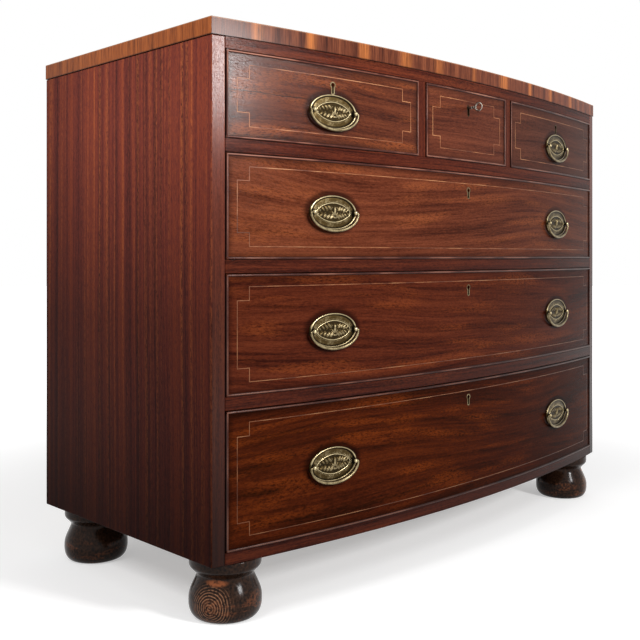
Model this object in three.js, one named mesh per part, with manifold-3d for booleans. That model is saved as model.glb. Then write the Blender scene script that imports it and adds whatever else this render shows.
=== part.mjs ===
// A bow front chest of drawers: three short drawers over three long ones, graduated, on
// four turned bun feet, with oval brass handles and a key in the middle lock.
// Lengths are millimetres. X runs to the right, Y to the back and Z up from the floor.
import * as THREE from "three";
import { mergeVertices } from "three/addons/utils/BufferGeometryUtils.js";
import Module from "manifold-3d";

const wasm = await Module();
wasm.setup();

// Carcase
const carcaseWidth = 1108;
const sideDepth = 486;
const bowDepth = 52;
const topThickness = 26;
const topOverhang = 1.5;
const sideThickness = 22;
const edgeRailThickness = 18;
const dividerThickness = 20;
const railBackY = 28;
const dustBoardThickness = 8;
const tongue = 6;
const runnerWidth = 34;
const bottomBoardThickness = 12;
const housingDepth = 7;
const housingStop = 12;
const backThickness = 10;
const backRebateWidth = 10;
const muntinThickness = 18;
const guideHeight = 24;

// Openings for the drawers
const middleOpeningWidth = 246;
const topOpeningHeight = 131;
const upperOpeningHeight = 158;
const middleOpeningHeight = 181;
const lowerOpeningHeight = 208;

// Feet
const footHeight = 92;
const footRadius = 56;
const footInsetSide = 62;
const footInsetFront = 45;
const footInsetBack = 69;
const spigotRadius = 11;
const spigotLength = 11;

// Drawers
const frontThickness = 22;
const frontLap = 6;
const drawerSideThickness = 9;
const drawerBackThickness = 9;
const drawerBottomThickness = 6;
const drawerSideDrop = 4;
const drawerBackDrop = 10;
const drawerBackRoom = 14;
const bottomGrooveHeight = 8;
const frontGrooveDepth = 6;
const sideGrooveDepth = 4;
const beadWidth = 4;
const beadProud = 2.3;
const tailPitch = 44;
const pinWidth = 5;

// Clearances
const fit = 0.3;
const drawerEndGap = 0.8;
const drawerTopGap = 1;
const drawerRunGap = 0.5;
const overrun = 1;

// Handles
const plateLength = 96;
const plateHeight = 55;
const plateEdge = 1.2;
const plateRelief = 2.4;
const topHandleDrop = 9;
const upperHandleDrop = 4.3;
const middleHandleDrop = 1.5;
const lowerHandleDrop = -0.8;
const postSpan = 42;
const postReach = 6;
const postRadius = 2.4;
const postFootRadius = 3.6;
const postBallRadius = 3.7;
const bailDrop = 29;
const bailEndRadius = 1.7;
const bailMiddleRadius = 2.4;
const bailPinRadius = 1.1;

// Keyholes, lock and key
const keyDrop = 32;
const keyholeRadius = 3.2;
const keyholeSlotWidth = 3.4;
const keyholeSlotDrop = 14;
const keyholeDepth = 12;
const lockWidth = 60;
const lockHeight = 48;
const lockDepth = 11;
const lockWall = 3;
const boltWidth = 22;
const boltThickness = 5;
const boltHeight = 20;
const boltThrow = 6;
const mortiseRoom = 1;
const keyShankRadius = 2.4;
const keyStemLength = 13.5;
const keyBowLength = 18;
const keyBowHeight = 18;
const keyBowRim = 3;
const keyBitDrop = 9.5;
const keyBitLength = 4;
const keyBitThickness = 2.2;

// Shares of the size that each one follows
const dovetailSlopeShare = 1 / 6;
const noseShares = [[0, 0], [0.25, 0.9], [0.75, 0.9], [1, 0]];
const plateRingShares = [[1, 0.5], [0.94, 1], [0.86, 0.4], [0.68, 0.35], [0.62, 0.85]];
const plateDomeShares = [0.3, 0.8];
const footCollarShares = [[0, 0], [0.99, 0], [0.99, 0.16], [0.9, 0.22], [0.8, 0.28], [0.79, 0.32]];
const footBallShares = [[0.83, 0.4], [0.93, 0.54], [1, 0.7], [0.99, 0.83], [0.93, 0.945]];
const footBaseShares = [[0.85, 1], [0, 1]];
const bailSwellShare = 1.5;

// Facets
const bowChord = 78;
const footSides = 22;
const spigotSides = 10;
const plateSides = 18;
const postSides = 6;
const bailSides = 6;
const bailSteps = 12;
const keySides = 10;

// Levels, from the floor up
const bottomZ = footHeight;
const lowerZ = bottomZ + edgeRailThickness;
const middleZ = lowerZ + lowerOpeningHeight + dividerThickness;
const upperZ = middleZ + middleOpeningHeight + dividerThickness;
const shortZ = upperZ + upperOpeningHeight + dividerThickness;
const topRailZ = shortZ + topOpeningHeight;
const topBoardZ = topRailZ + edgeRailThickness;
const topZ = topBoardZ + topThickness;

// Places across and from front to back
const halfWidth = carcaseWidth / 2;
const innerX = halfWidth - sideThickness;
const muntinInnerX = middleOpeningWidth / 2;
const muntinOuterX = muntinInnerX + muntinThickness;
const handleX = (innerX + muntinOuterX) / 2;
const bowRadius = (bowDepth ** 2 + halfWidth ** 2) / (2 * bowDepth);
const rebateY = sideDepth - backThickness - fit;
const frameBackY = rebateY - fit;
const drawerBackY = frameBackY - drawerBackRoom;
const housingFrontY = bowY(innerX, 0) + housingStop;

// Y of the bow at x, for a surface that lies this far out in front of the drawers' faces.
function bowY(x, out) {
  return bowRadius - bowDepth - Math.sqrt((bowRadius + out) ** 2 - x ** 2);
}

const mahogany = new THREE.MeshStandardMaterial({ color: 0x5c2416, roughness: 0.38, flatShading: true });
const sideMahogany = new THREE.MeshStandardMaterial({ color: 0x64281c, roughness: 0.42, flatShading: true });
const drawerMahogany = new THREE.MeshStandardMaterial({ color: 0x6d2f18, roughness: 0.32, flatShading: true });
const ebonised = new THREE.MeshStandardMaterial({ color: 0x241813, roughness: 0.35, flatShading: true });
const oak = new THREE.MeshStandardMaterial({ color: 0xa98452, roughness: 0.75, flatShading: true });
const pine = new THREE.MeshStandardMaterial({ color: 0xb08a58, roughness: 0.8, flatShading: true });
const brass = new THREE.MeshStandardMaterial({ color: 0x9d8450, roughness: 0.4, metalness: 1, flatShading: true });
const steel = new THREE.MeshStandardMaterial({ color: 0x77736c, roughness: 0.5, metalness: 1, flatShading: true });

// A manifold solid from a closed three.js geometry, with its faces turned outwards.
function solidOf(geometry) {
  const bare = geometry.clone();
  bare.deleteAttribute("normal");
  bare.deleteAttribute("uv");
  const merged = mergeVertices(bare);
  const points = merged.attributes.position.array;
  const triVerts = new Uint32Array(merged.index.array);
  const made = new wasm.Manifold(new wasm.Mesh({ numProp: 3, vertProperties: points, triVerts }));
  if (made.volume() > 0) return made;
  return new wasm.Manifold(
    new wasm.Mesh({ numProp: 3, vertProperties: points, triVerts: triVerts.reverse() }),
  );
}

function meshOf(name, solid, material) {
  const { vertProperties, triVerts } = solid.getMesh();
  const geometry = new THREE.BufferGeometry();
  geometry.setAttribute("position", new THREE.BufferAttribute(vertProperties, 3));
  geometry.setIndex(new THREE.BufferAttribute(triVerts, 1));
  geometry.computeVertexNormals();
  const mesh = new THREE.Mesh(geometry, material);
  mesh.name = name;
  return mesh;
}

function shapeOf(points) {
  return new THREE.Shape(points.map(([a, b]) => new THREE.Vector2(a, b)));
}

// A flat outline raised from one level to another.
function raised(points, low, high, holes = []) {
  const shape = shapeOf(points);
  holes.forEach((hole) => shape.holes.push(shapeOf(hole)));
  const geometry = new THREE.ExtrudeGeometry(shape, { depth: 1, bevelEnabled: false });
  const places = geometry.attributes.position;
  for (let i = 0; i < places.count; i++) places.setZ(i, places.getZ(i) > 0 ? high : low);
  return geometry;
}

// A flat outline of (x, y) points, raised from z0 to z1.
function plank(points, z0, z1) {
  return solidOf(raised(points, z0, z1));
}

// A rectangular block between two corners.
function block(x0, x1, y0, y1, z0, z1) {
  return plank([[x0, y0], [x1, y0], [x1, y1], [x0, y1]], z0, z1);
}

// A flat outline of (y, z) points, carried across from x0 to x1.
function panel(points, x0, x1, holes = []) {
  const across = new THREE.Matrix4().makeBasis(
    new THREE.Vector3(0, 1, 0),
    new THREE.Vector3(0, 0, 1),
    new THREE.Vector3(1, 0, 0),
  );
  return solidOf(raised(points, x0, x1, holes).applyMatrix4(across));
}

// A solid through rings of points, one for each point of the flat outline of its ends.
function loft(rings, outline) {
  const count = outline.length;
  const last = (rings.length - 1) * count;
  const faces = [];
  for (let ring = 0; ring < last; ring += count) {
    for (let i = 0; i < count; i++) {
      const next = (i + 1) % count;
      faces.push(ring + i, ring + next, ring + count + next);
      faces.push(ring + i, ring + count + next, ring + count + i);
    }
  }
  const contour = outline.map(([a, b]) => new THREE.Vector2(a, b));
  const forward = THREE.ShapeUtils.area(contour) > 0;
  for (const [i, j, k] of THREE.ShapeUtils.triangulateShape(contour, [])) {
    const corner = [contour[i], contour[j], contour[k]];
    const same = THREE.ShapeUtils.area(corner) > 0 === forward;
    const [p, q] = same ? [j, k] : [k, j];
    faces.push(i, q, p, last + i, last + p, last + q);
  }
  const geometry = new THREE.BufferGeometry();
  geometry.setAttribute("position", new THREE.Float32BufferAttribute(rings.flat(2), 3));
  geometry.setIndex(faces);
  return solidOf(geometry);
}

function circle(sides) {
  const turn = (2 * Math.PI) / sides;
  return Array.from({ length: sides }, (_, i) => [Math.cos(i * turn), Math.sin(i * turn)]);
}

// Evenly spaced places along the bow, close enough for a smooth curve.
function bowStations(x0, x1) {
  const steps = Math.ceil((x1 - x0) / bowChord);
  return Array.from({ length: steps + 1 }, (_, i) => x0 + ((x1 - x0) * i) / steps);
}

// A moulding that follows the bow: its profile is (out, z) points.
function bowMoulding(profile, x0, x1) {
  const rings = bowStations(x0, x1).map((x) => profile.map(([out, z]) => [x, bowY(x, out), z]));
  return loft(rings, profile);
}

// A board with a bow front and a straight back.
function bowBoard(x0, x1, out, backY, z0, z1) {
  const front = bowStations(x0, x1).map((x) => [x, bowY(x, out)]);
  return plank([...front, [x1, backY], [x0, backY]], z0, z1);
}

// A solid turned on an upright axis from (radius, height) points.
function turned(points, sides) {
  return solidOf(new THREE.LatheGeometry(points.map(([r, h]) => new THREE.Vector2(r, h)), sides));
}

// A rod along an axis, from its start to its end.
function rod(axis, radius, start, end, sides) {
  const geometry = new THREE.CylinderGeometry(radius, radius, end - start, sides);
  geometry.translate(0, (start + end) / 2, 0);
  if (axis === "x") geometry.rotateZ(-Math.PI / 2);
  return solidOf(geometry);
}

// Carcase

function makeTopBoard() {
  const reach = halfWidth + topOverhang;
  return bowBoard(-reach, reach, topOverhang, sideDepth, topBoardZ, topZ);
}

// The side's plan has the bow's slope on its front edge and a rebate for the back boards.
function makeSide(hand) {
  const rebateX = innerX + backRebateWidth;
  const plan = [
    [hand * innerX, bowY(innerX, 0)],
    [hand * halfWidth, 0],
    [hand * halfWidth, sideDepth],
    [hand * rebateX, sideDepth],
    [hand * rebateX, rebateY],
    [hand * innerX, rebateY],
  ];
  const levels = [
    [topRailZ, topBoardZ + overrun],
    [shortZ - dividerThickness, shortZ],
    [upperZ - dividerThickness, upperZ],
    [middleZ - dividerThickness, middleZ],
    [bottomZ - overrun, bottomZ + bottomBoardThickness],
  ];
  const [near, far] = [innerX - overrun, innerX + housingDepth];
  const x0 = hand < 0 ? -far : near;
  const x1 = hand < 0 ? -near : far;
  return levels.reduce(
    (side, [z0, z1]) =>
      side.subtract(block(x0, x1, housingFrontY - fit, rebateY + overrun, z0 - fit, z1 + fit)),
    plank(plan, bottomZ, topBoardZ - fit),
  );
}

// What enters the housings of the two sides, from behind the front edge to a place at the back.
function makeTenons(backY, z0, z1) {
  const reach = innerX + housingDepth - fit;
  const inside = innerX - runnerWidth;
  const left = block(-reach, -inside, housingFrontY, backY, z0, z1);
  return left.add(block(inside, reach, housingFrontY, backY, z0, z1));
}

function makeRail(z0, z1) {
  return bowBoard(-innerX + fit, innerX - fit, 0, railBackY, z0, z1);
}

// Runners and kickers lie behind the rail, at the sides and beside the muntins.
function makeMuntinRunners(z0, z1) {
  const middle = (muntinInnerX + muntinOuterX) / 2;
  const y0 = railBackY - tongue;
  const left = block(-middle - runnerWidth, -middle + runnerWidth, y0, frameBackY, z0, z1);
  return left.add(block(middle - runnerWidth, middle + runnerWidth, y0, frameBackY, z0, z1));
}

function makeTopRail() {
  const z1 = topBoardZ - fit;
  const rail = makeRail(topRailZ, z1)
    .add(makeTenons(frameBackY, topRailZ, z1))
    .add(makeMuntinRunners(topRailZ, z1));
  const mortiseX = boltWidth / 2 + mortiseRoom;
  const [y0, y1] = boltPlaces();
  const mortiseTop = topRailZ + boltThrow + mortiseRoom;
  return rail.subtract(
    block(-mortiseX, mortiseX, y0 - mortiseRoom, y1 + mortiseRoom, topRailZ - overrun, mortiseTop),
  );
}

// The dust board lies flush with the underside of the rail and runners.
function makeDivider(topOfDivider, carriesMuntins) {
  const z0 = topOfDivider - dividerThickness;
  const dustBoard = block(
    -innerX + tongue,
    innerX - tongue,
    railBackY - tongue,
    frameBackY,
    z0,
    z0 + dustBoardThickness,
  );
  const frame = makeRail(z0, topOfDivider).add(makeTenons(frameBackY, z0, topOfDivider)).add(dustBoard);
  return carriesMuntins ? frame.add(makeMuntinRunners(z0, topOfDivider)) : frame;
}

function makeBottomRail() {
  return makeRail(bottomZ, lowerZ).add(makeTenons(railBackY, bottomZ, bottomZ + bottomBoardThickness));
}

// The bottom board carries the runners of the lowest drawer and takes the feet's spigots.
function makeBottomBoard() {
  const y0 = railBackY + fit;
  const reach = innerX + housingDepth - fit;
  const boardTop = bottomZ + bottomBoardThickness;
  const runnerX = innerX - runnerWidth;
  const holeRadius = spigotRadius + fit;
  const holeLength = 2 * (bottomBoardThickness + overrun);
  const board = footPlaces.reduce((made, [, x, y]) => {
    const hole = new THREE.CylinderGeometry(holeRadius, holeRadius, holeLength, spigotSides);
    hole.rotateX(Math.PI / 2);
    hole.translate(x, y, bottomZ);
    return made.subtract(solidOf(hole));
  }, block(-reach, reach, y0, frameBackY, bottomZ, boardTop));
  return board
    .add(block(-innerX + fit, -runnerX, y0, frameBackY, boardTop, lowerZ))
    .add(block(runnerX, innerX - fit, y0, frameBackY, boardTop, lowerZ));
}

// A muntin stands between two short drawers, with a guide that runs back from it.
function makeMuntin(hand) {
  const x0 = hand < 0 ? -muntinOuterX : muntinInnerX;
  const x1 = x0 + muntinThickness;
  const z0 = shortZ + fit;
  return bowBoard(x0, x1, 0, railBackY, z0, topRailZ - fit).add(
    block(x0, x1, railBackY - tongue, frameBackY, z0, z0 + guideHeight),
  );
}

function makeBackBoard(z0, z1) {
  const reach = innerX + backRebateWidth - fit;
  return block(-reach, reach, sideDepth - backThickness, sideDepth, z0, z1);
}

const footPlaces = [
  ["foot_front_left", -halfWidth + footInsetSide, footInsetFront],
  ["foot_front_right", halfWidth - footInsetSide, footInsetFront],
  ["foot_back_left", -halfWidth + footInsetSide, sideDepth - footInsetBack],
  ["foot_back_right", halfWidth - footInsetSide, sideDepth - footInsetBack],
];

// The foot's profile runs down from the spigot: a deep collar, a cove and a flattened ball.
function makeFoot() {
  const height = footHeight - fit;
  const shares = [...footCollarShares, ...footBallShares, ...footBaseShares];
  const profile = shares.map(([r, drop]) => new THREE.Vector2(r * footRadius, height * (1 - drop)));
  const geometry = new THREE.LatheGeometry(profile, footSides);
  geometry.rotateX(Math.PI / 2);
  const length = spigotLength + overrun;
  const spigot = new THREE.CylinderGeometry(spigotRadius, spigotRadius, length, spigotSides);
  spigot.rotateX(Math.PI / 2);
  spigot.translate(0, 0, height - overrun + length / 2);
  return solidOf(geometry).add(solidOf(spigot));
}

// Drawers

// The half-round nose of a cockbead, as (out, across) points.
function nose(start) {
  return noseShares.map(([across, out]) => [out * beadProud, start + across * beadWidth]);
}

function frontProfile(height) {
  const rear = -frontThickness;
  const groove = rear + frontGrooveDepth;
  const grooveTop = bottomGrooveHeight + drawerBottomThickness + 2 * fit;
  return [
    [rear, 0],
    ...nose(0),
    ...nose(height - beadWidth),
    [rear, height],
    [rear, grooveTop],
    [groove, grooveTop],
    [groove, bottomGrooveHeight],
    [rear, bottomGrooveHeight],
  ];
}

// The bead that stands at an end of the front. Inwards is 1 at the left end, -1 at the right.
function makeEndBead(x, inwards, height) {
  const nosePoints = nose(0).map(([out, across]) => {
    const place = x + inwards * across;
    return [place, bowY(place, out)];
  });
  const backX = x + inwards * beadWidth;
  return plank([...nosePoints, [backX, bowY(backX, -frontLap / 2)], [x, bowY(x, -frontLap / 2)]], 0, height);
}

// Where the joints lie at one end of a drawer.
function endPlaces(x, inwards) {
  const insideX = x + inwards * drawerSideThickness;
  const landX = insideX + inwards * fit;
  const landY = Math.min(bowY(x, -frontThickness), bowY(landX, -frontThickness));
  const tipY = Math.max(bowY(x, -frontLap), bowY(insideX, -frontLap));
  return { x, inwards, insideX, landX, landY, shoulderY: landY + fit, tipY };
}

function tails(sideHeight) {
  const count = Math.max(3, Math.round(sideHeight / tailPitch));
  const pitch = sideHeight / count;
  return Array.from({ length: count }, (_, i) => ({ z: (i + 0.5) * pitch, wide: (pitch - pinWidth) / 2 }));
}

function pins(sideHeight) {
  const count = Math.max(2, Math.round(sideHeight / tailPitch) - 1);
  const z0 = bottomGrooveHeight + drawerBottomThickness + fit;
  const pitch = (sideHeight - drawerBackDrop - z0) / count;
  return Array.from({ length: count }, (_, i) => ({ z: z0 + (i + 0.5) * pitch, narrow: pinWidth / 2 }));
}

// The drawer's side, with tails at its front and notches for the back's pins.
function makeDrawerSide(end, sideHeight) {
  const reach = end.shoulderY - end.tipY;
  const notchY = drawerBackY - drawerBackThickness - fit;
  const rear = pins(sideHeight).flatMap(({ z, narrow }) => {
    const wide = narrow + drawerBackThickness * dovetailSlopeShare;
    return [
      [drawerBackY, z - narrow],
      [notchY, z - wide],
      [notchY, z + wide],
      [drawerBackY, z + narrow],
    ];
  });
  const front = tails(sideHeight)
    .reverse()
    .flatMap(({ z, wide }) => {
      const narrow = wide - reach * dovetailSlopeShare;
      return [
        [end.shoulderY, z + narrow],
        [end.tipY, z + wide],
        [end.tipY, z - wide],
        [end.shoulderY, z - narrow],
      ];
    });
  const outline = [
    [end.shoulderY, 0],
    [drawerBackY, 0],
    ...rear,
    [drawerBackY, sideHeight],
    [end.shoulderY, sideHeight],
    ...front,
  ];
  const [x0, x1] = [end.x, end.insideX].sort((a, b) => a - b);
  const grooveTop = bottomGrooveHeight + drawerBottomThickness + 2 * fit;
  const [g0, g1] = [
    end.insideX - end.inwards * sideGrooveDepth,
    end.insideX + end.inwards * overrun,
  ].sort((a, b) => a - b);
  const [y0, y1] = [end.tipY - overrun, drawerBackY + overrun];
  return panel(outline, x0, x1).subtract(block(g0, g1, y0, y1, bottomGrooveHeight, grooveTop));
}

// What is cut from an end of the front: a flat land for the shoulder, and a socket for each tail.
function makeSockets(end, sideHeight, height) {
  const [x0, x1] = [end.x - end.inwards * overrun, end.landX].sort((a, b) => a - b);
  const landBack = end.landY + frontThickness;
  const land = block(x0, x1, end.landY, landBack, -overrun, height + overrun);
  const reach = end.shoulderY - end.tipY;
  return tails(sideHeight).reduce((made, { z, wide }) => {
    const narrow = wide - reach * dovetailSlopeShare;
    const flare = fit + fit * dovetailSlopeShare;
    const socket = [
      [end.tipY - fit, z - wide - flare],
      [end.shoulderY, z - narrow - fit],
      [end.shoulderY, z + narrow + fit],
      [end.tipY - fit, z + wide + flare],
    ];
    return made.add(panel(socket, x0, x1));
  }, land);
}

function makeKeyhole(x, z, depth) {
  const y = bowY(x, 0);
  const round = rod("y", keyholeRadius, y - beadProud, y + depth, keySides).translate([x, 0, z]);
  const halfSlot = keyholeSlotWidth / 2;
  const slot = block(x - halfSlot, x + halfSlot, y - beadProud, y + depth, z - keyholeSlotDrop, z);
  return round.add(slot);
}

function makeFront(ends, height, sideHeight, keyX, holdsLock) {
  const [left, right] = ends;
  const board = bowMoulding(frontProfile(height), left.x, right.x)
    .add(makeEndBead(left.x, 1, height))
    .add(makeEndBead(right.x, -1, height));
  const jointed = ends.reduce((made, end) => made.subtract(makeSockets(end, sideHeight, height)), board);
  const keyZ = height + drawerTopGap - keyDrop;
  if (!holdsLock) return jointed.subtract(makeKeyhole(keyX, keyZ, keyholeDepth));
  const halfLock = lockWidth / 2;
  const rearY = bowY(keyX, -frontThickness);
  const recess = block(
    keyX - halfLock,
    keyX + halfLock,
    rearY - lockDepth,
    rearY + overrun,
    height - lockHeight,
    height + overrun,
  );
  return jointed.subtract(recess).subtract(makeKeyhole(keyX, keyZ, frontThickness));
}

// The bottom slides into the grooves, and the back stands on it with pins at both ends.
function makeBackAndBottom(ends, sideHeight) {
  const [left, right] = ends;
  const inset = drawerSideThickness - sideGrooveDepth + fit;
  const panelZ = bottomGrooveHeight + fit;
  const panelTop = panelZ + drawerBottomThickness;
  const edge = -(frontThickness - frontGrooveDepth) - fit;
  const bottom = bowBoard(left.x + inset, right.x - inset, edge, drawerBackY, panelZ, panelTop);
  const frontY = drawerBackY - drawerBackThickness;
  const back = block(
    left.insideX + fit,
    right.insideX - fit,
    frontY,
    drawerBackY,
    panelZ + drawerBottomThickness / 2,
    sideHeight - drawerBackDrop,
  );
  return pins(sideHeight).reduce((made, { z, narrow }) => {
    const wide = narrow + drawerBackThickness * dovetailSlopeShare;
    const pin = [
      [drawerBackY, z - narrow + fit],
      [drawerBackY, z + narrow - fit],
      [frontY, z + wide - fit],
      [frontY, z - wide + fit],
    ];
    return made
      .add(panel(pin, left.x, left.insideX + overrun))
      .add(panel(pin, right.insideX - overrun, right.x));
  }, bottom.add(back));
}

// Handles

// The plate is an oval with a rolled rim, a dish and a raised medallion.
function makePlate() {
  const oval = circle(plateSides).map(([a, b]) => [(a * plateLength) / 2, (b * plateHeight) / 2]);
  const ring = (share, reach) => oval.map(([x, z]) => [share * x, -reach, share * z]);
  const rings = plateRingShares.map(([share, rise]) => ring(share, plateEdge + rise * (plateRelief - plateEdge)));
  const [domeShare, domeRise] = plateDomeShares;
  const plate = loft([ring(1, 0), ...rings, ring(domeShare, plateEdge + domeRise * plateEdge)], oval);
  return [-1, 1].reduce((made, hand) => {
    const post = turned(
      [
        [0, -plateEdge / 2],
        [postFootRadius, -plateEdge / 2],
        [postRadius, -plateRelief],
        [postRadius, -postReach + (postBallRadius * 3) / 4],
        [postBallRadius, -postReach + postBallRadius / 3],
        [postBallRadius, -postReach - postBallRadius / 3],
        [postRadius, -postReach - postBallRadius],
        [0, -postReach - postBallRadius],
      ],
      postSides,
    ).translate([hand * postSpan, 0, 0]);
    const [h0, h1] = [postSpan, postSpan + postBallRadius + overrun].map((x) => hand * x);
    const hole = rod("x", bailPinRadius + fit, Math.min(h0, h1), Math.max(h0, h1), postSides);
    return made.add(post).subtract(hole.translate([0, -postReach, 0]));
  }, plate);
}

// The bail hangs in a half oval from two pins that point inwards, and swells to its middle.
function makeBail() {
  const reach = postSpan + postBallRadius + fit + bailEndRadius;
  const pinTip = postSpan + fit;
  const arc = Array.from({ length: bailSteps + 1 }, (_, i) => {
    const turn = (Math.PI * i) / bailSteps;
    const swell = Math.sin(turn) ** bailSwellShare;
    const radius = bailEndRadius + (bailMiddleRadius - bailEndRadius) * swell;
    return { x: -reach * Math.cos(turn), z: -bailDrop * Math.sin(turn), radius };
  });
  const tip = (hand) => ({ x: hand * pinTip, z: 0, radius: bailPinRadius });
  const neck = (hand) => ({ x: hand * (reach - bailEndRadius), z: 0, radius: bailPinRadius });
  const path = [tip(-1), neck(-1), ...arc, neck(1), tip(1)];
  const outline = circle(bailSides);
  const rings = path.map((here, i) => {
    const into = direction(path[Math.max(i - 1, 0)], path[Math.max(i, 1)]);
    const outOf = direction(path[Math.min(i, path.length - 2)], path[Math.min(i + 1, path.length - 1)]);
    const along = new THREE.Vector2().addVectors(into, outOf).normalize();
    const mitre = here.radius / along.dot(into);
    return outline.map(([a, b]) => [
      here.x - a * mitre * along.y,
      -postReach + b * here.radius,
      here.z + a * mitre * along.x,
    ]);
  });
  return loft(rings, outline);
}

function direction(from, to) {
  return new THREE.Vector2(to.x - from.x, to.z - from.z).normalize();
}

// A handle's group lies on the bow, turned to face straight out of it.
function handleGroup(name, x, z) {
  const group = new THREE.Group();
  group.position.set(x, bowY(x, 0), z);
  group.rotation.z = Math.asin(x / bowRadius);
  const plate = meshOf("plate_" + name, makePlate(), brass);
  plate.position.y = -fit;
  const bail = meshOf("bail_" + name, makeBail(), brass);
  bail.position.y = -fit;
  group.add(plate, bail);
  return group;
}

// Lock and key of the middle short drawer

// Front and back of the bolt, in the middle of the lock's depth.
function boltPlaces() {
  const middle = bowY(0, -frontThickness) - lockDepth / 2;
  return [middle - boltThickness / 2, middle + boltThickness / 2];
}

function makeLockCase(height) {
  const rearY = bowY(0, -frontThickness);
  const halfLock = lockWidth / 2 - fit;
  const frontY = rearY - lockDepth + fit;
  const [z0, z1] = [height - lockHeight + fit, height];
  const [y0, y1] = boltPlaces();
  const pocketX = halfLock - 2 * lockWall;
  const slotX = boltWidth / 2 + fit;
  return block(-halfLock, halfLock, frontY, rearY, z0, z1)
    .subtract(block(-pocketX, pocketX, frontY - overrun, y1 + fit, z0 + lockWall, z1 - lockWall))
    .subtract(block(-slotX, slotX, y0 - fit, y1 + fit, z1 - 2 * lockWall, z1 + overrun));
}

function makeBolt(height) {
  const [y0, y1] = boltPlaces();
  return block(-boltWidth / 2, boltWidth / 2, y0, y1, height - boltHeight, height);
}

function oval(centreY, halfLength, halfHeight) {
  return circle(plateSides).map(([a, b]) => [centreY + a * halfLength, b * halfHeight]);
}

// The key lies along Y with its bow upright and its bit in the lock, pointing down.
function makeKey() {
  const faceY = bowY(0, 0);
  const [bitY] = boltPlaces();
  const bowY0 = faceY - keyStemLength;
  const bowMiddle = bowY0 - keyBowLength / 2;
  const halfRim = keyBowRim / 2;
  const rim = oval(bowMiddle, keyBowLength / 2, keyBowHeight / 2);
  const eye = oval(bowMiddle, keyBowLength / 2 - keyBowRim, keyBowHeight / 2 - keyBowRim);
  const halfBit = keyBitThickness / 2;
  const bit = block(-halfBit, halfBit, bitY, bitY + keyBitLength, -keyBitDrop, 0);
  return rod("y", keyShankRadius, bowY0 - halfRim, bitY + keyBitLength, keySides)
    .add(panel(rim, -halfRim, halfRim, [eye]))
    .add(bit);
}

// Assembly

function makeCarcase() {
  const group = new THREE.Group();
  const halfBackZ = (bottomZ + topBoardZ) / 2;
  group.add(
    meshOf("top_board", makeTopBoard(), mahogany),
    meshOf("side_left", makeSide(-1), sideMahogany),
    meshOf("side_right", makeSide(1), sideMahogany),
    meshOf("top_rail", makeTopRail(), mahogany),
    meshOf("divider_upper", makeDivider(shortZ, true), mahogany),
    meshOf("divider_middle", makeDivider(upperZ, false), mahogany),
    meshOf("divider_lower", makeDivider(middleZ, false), mahogany),
    meshOf("bottom_rail", makeBottomRail(), mahogany),
    meshOf("bottom_board", makeBottomBoard(), pine),
    meshOf("muntin_left", makeMuntin(-1), mahogany),
    meshOf("muntin_right", makeMuntin(1), mahogany),
    meshOf("back_board_lower", makeBackBoard(bottomZ, halfBackZ - fit), pine),
    meshOf("back_board_upper", makeBackBoard(halfBackZ, topBoardZ - fit), pine),
  );
  for (const [name, x, y] of footPlaces) {
    const foot = meshOf(name, makeFoot(), ebonised);
    foot.position.set(x, y, 0);
    group.add(foot);
  }
  return group;
}

// Each drawer: its opening, the place of its keyhole, and how far its handles lie below its middle.
// All handles stand in line with the middles of the outer short drawers.
const short = { z: shortZ, opening: topOpeningHeight, handleDrop: topHandleDrop, handles: 1 };
const long = { x0: -innerX, x1: innerX, keyX: 0, handles: 2 };
const drawers = [
  { ...short, name: "top_left", x0: -innerX, x1: -muntinOuterX, keyX: -handleX },
  { ...short, name: "top_middle", x0: -muntinInnerX, x1: muntinInnerX, keyX: 0, handles: 0 },
  { ...short, name: "top_right", x0: muntinOuterX, x1: innerX, keyX: handleX },
  { ...long, name: "upper", z: upperZ, opening: upperOpeningHeight, handleDrop: upperHandleDrop },
  { ...long, name: "middle", z: middleZ, opening: middleOpeningHeight, handleDrop: middleHandleDrop },
  { ...long, name: "lower", z: lowerZ, opening: lowerOpeningHeight, handleDrop: lowerHandleDrop },
];

function makeDrawer({ name, x0, x1, z, opening, keyX, handles, handleDrop }) {
  const group = new THREE.Group();
  group.position.z = z + drawerRunGap;
  const height = opening - drawerRunGap - drawerTopGap;
  const sideHeight = height - drawerSideDrop;
  const ends = [endPlaces(x0 + drawerEndGap, 1), endPlaces(x1 - drawerEndGap, -1)];
  const holdsLock = handles === 0;
  const prefix = "drawer_" + name;
  group.add(
    meshOf(prefix + "_front", makeFront(ends, height, sideHeight, keyX, holdsLock), drawerMahogany),
    meshOf(prefix + "_side_left", makeDrawerSide(ends[0], sideHeight), oak),
    meshOf(prefix + "_side_right", makeDrawerSide(ends[1], sideHeight), oak),
    meshOf(prefix + "_back_bottom", makeBackAndBottom(ends, sideHeight), oak),
  );
  const handleZ = height / 2 - handleDrop;
  if (handles === 2) {
    group.add(handleGroup(name + "_left", -handleX, handleZ));
    group.add(handleGroup(name + "_right", handleX, handleZ));
  } else if (handles === 1) {
    group.add(handleGroup(name, keyX, handleZ));
  } else {
    const key = meshOf("key", makeKey(), steel);
    key.position.z = height + drawerTopGap - keyDrop;
    group.add(
      meshOf("lock_case", makeLockCase(height), brass),
      meshOf("lock_bolt", makeBolt(height), steel),
      key,
    );
  }
  return group;
}

const chest = new THREE.Group();
chest.add(makeCarcase(), ...drawers.map(makeDrawer));

// The key and the bails reach furthest forward; the origin is midway to the back.
const keyFrontY = bowY(0, 0) - keyStemLength - keyBowLength;
const bailFrontY = bowY(handleX, 0) - fit - postReach - postBallRadius;
chest.position.y = -(Math.min(keyFrontY, bailFrontY) + sideDepth) / 2;

export default chest;
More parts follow.
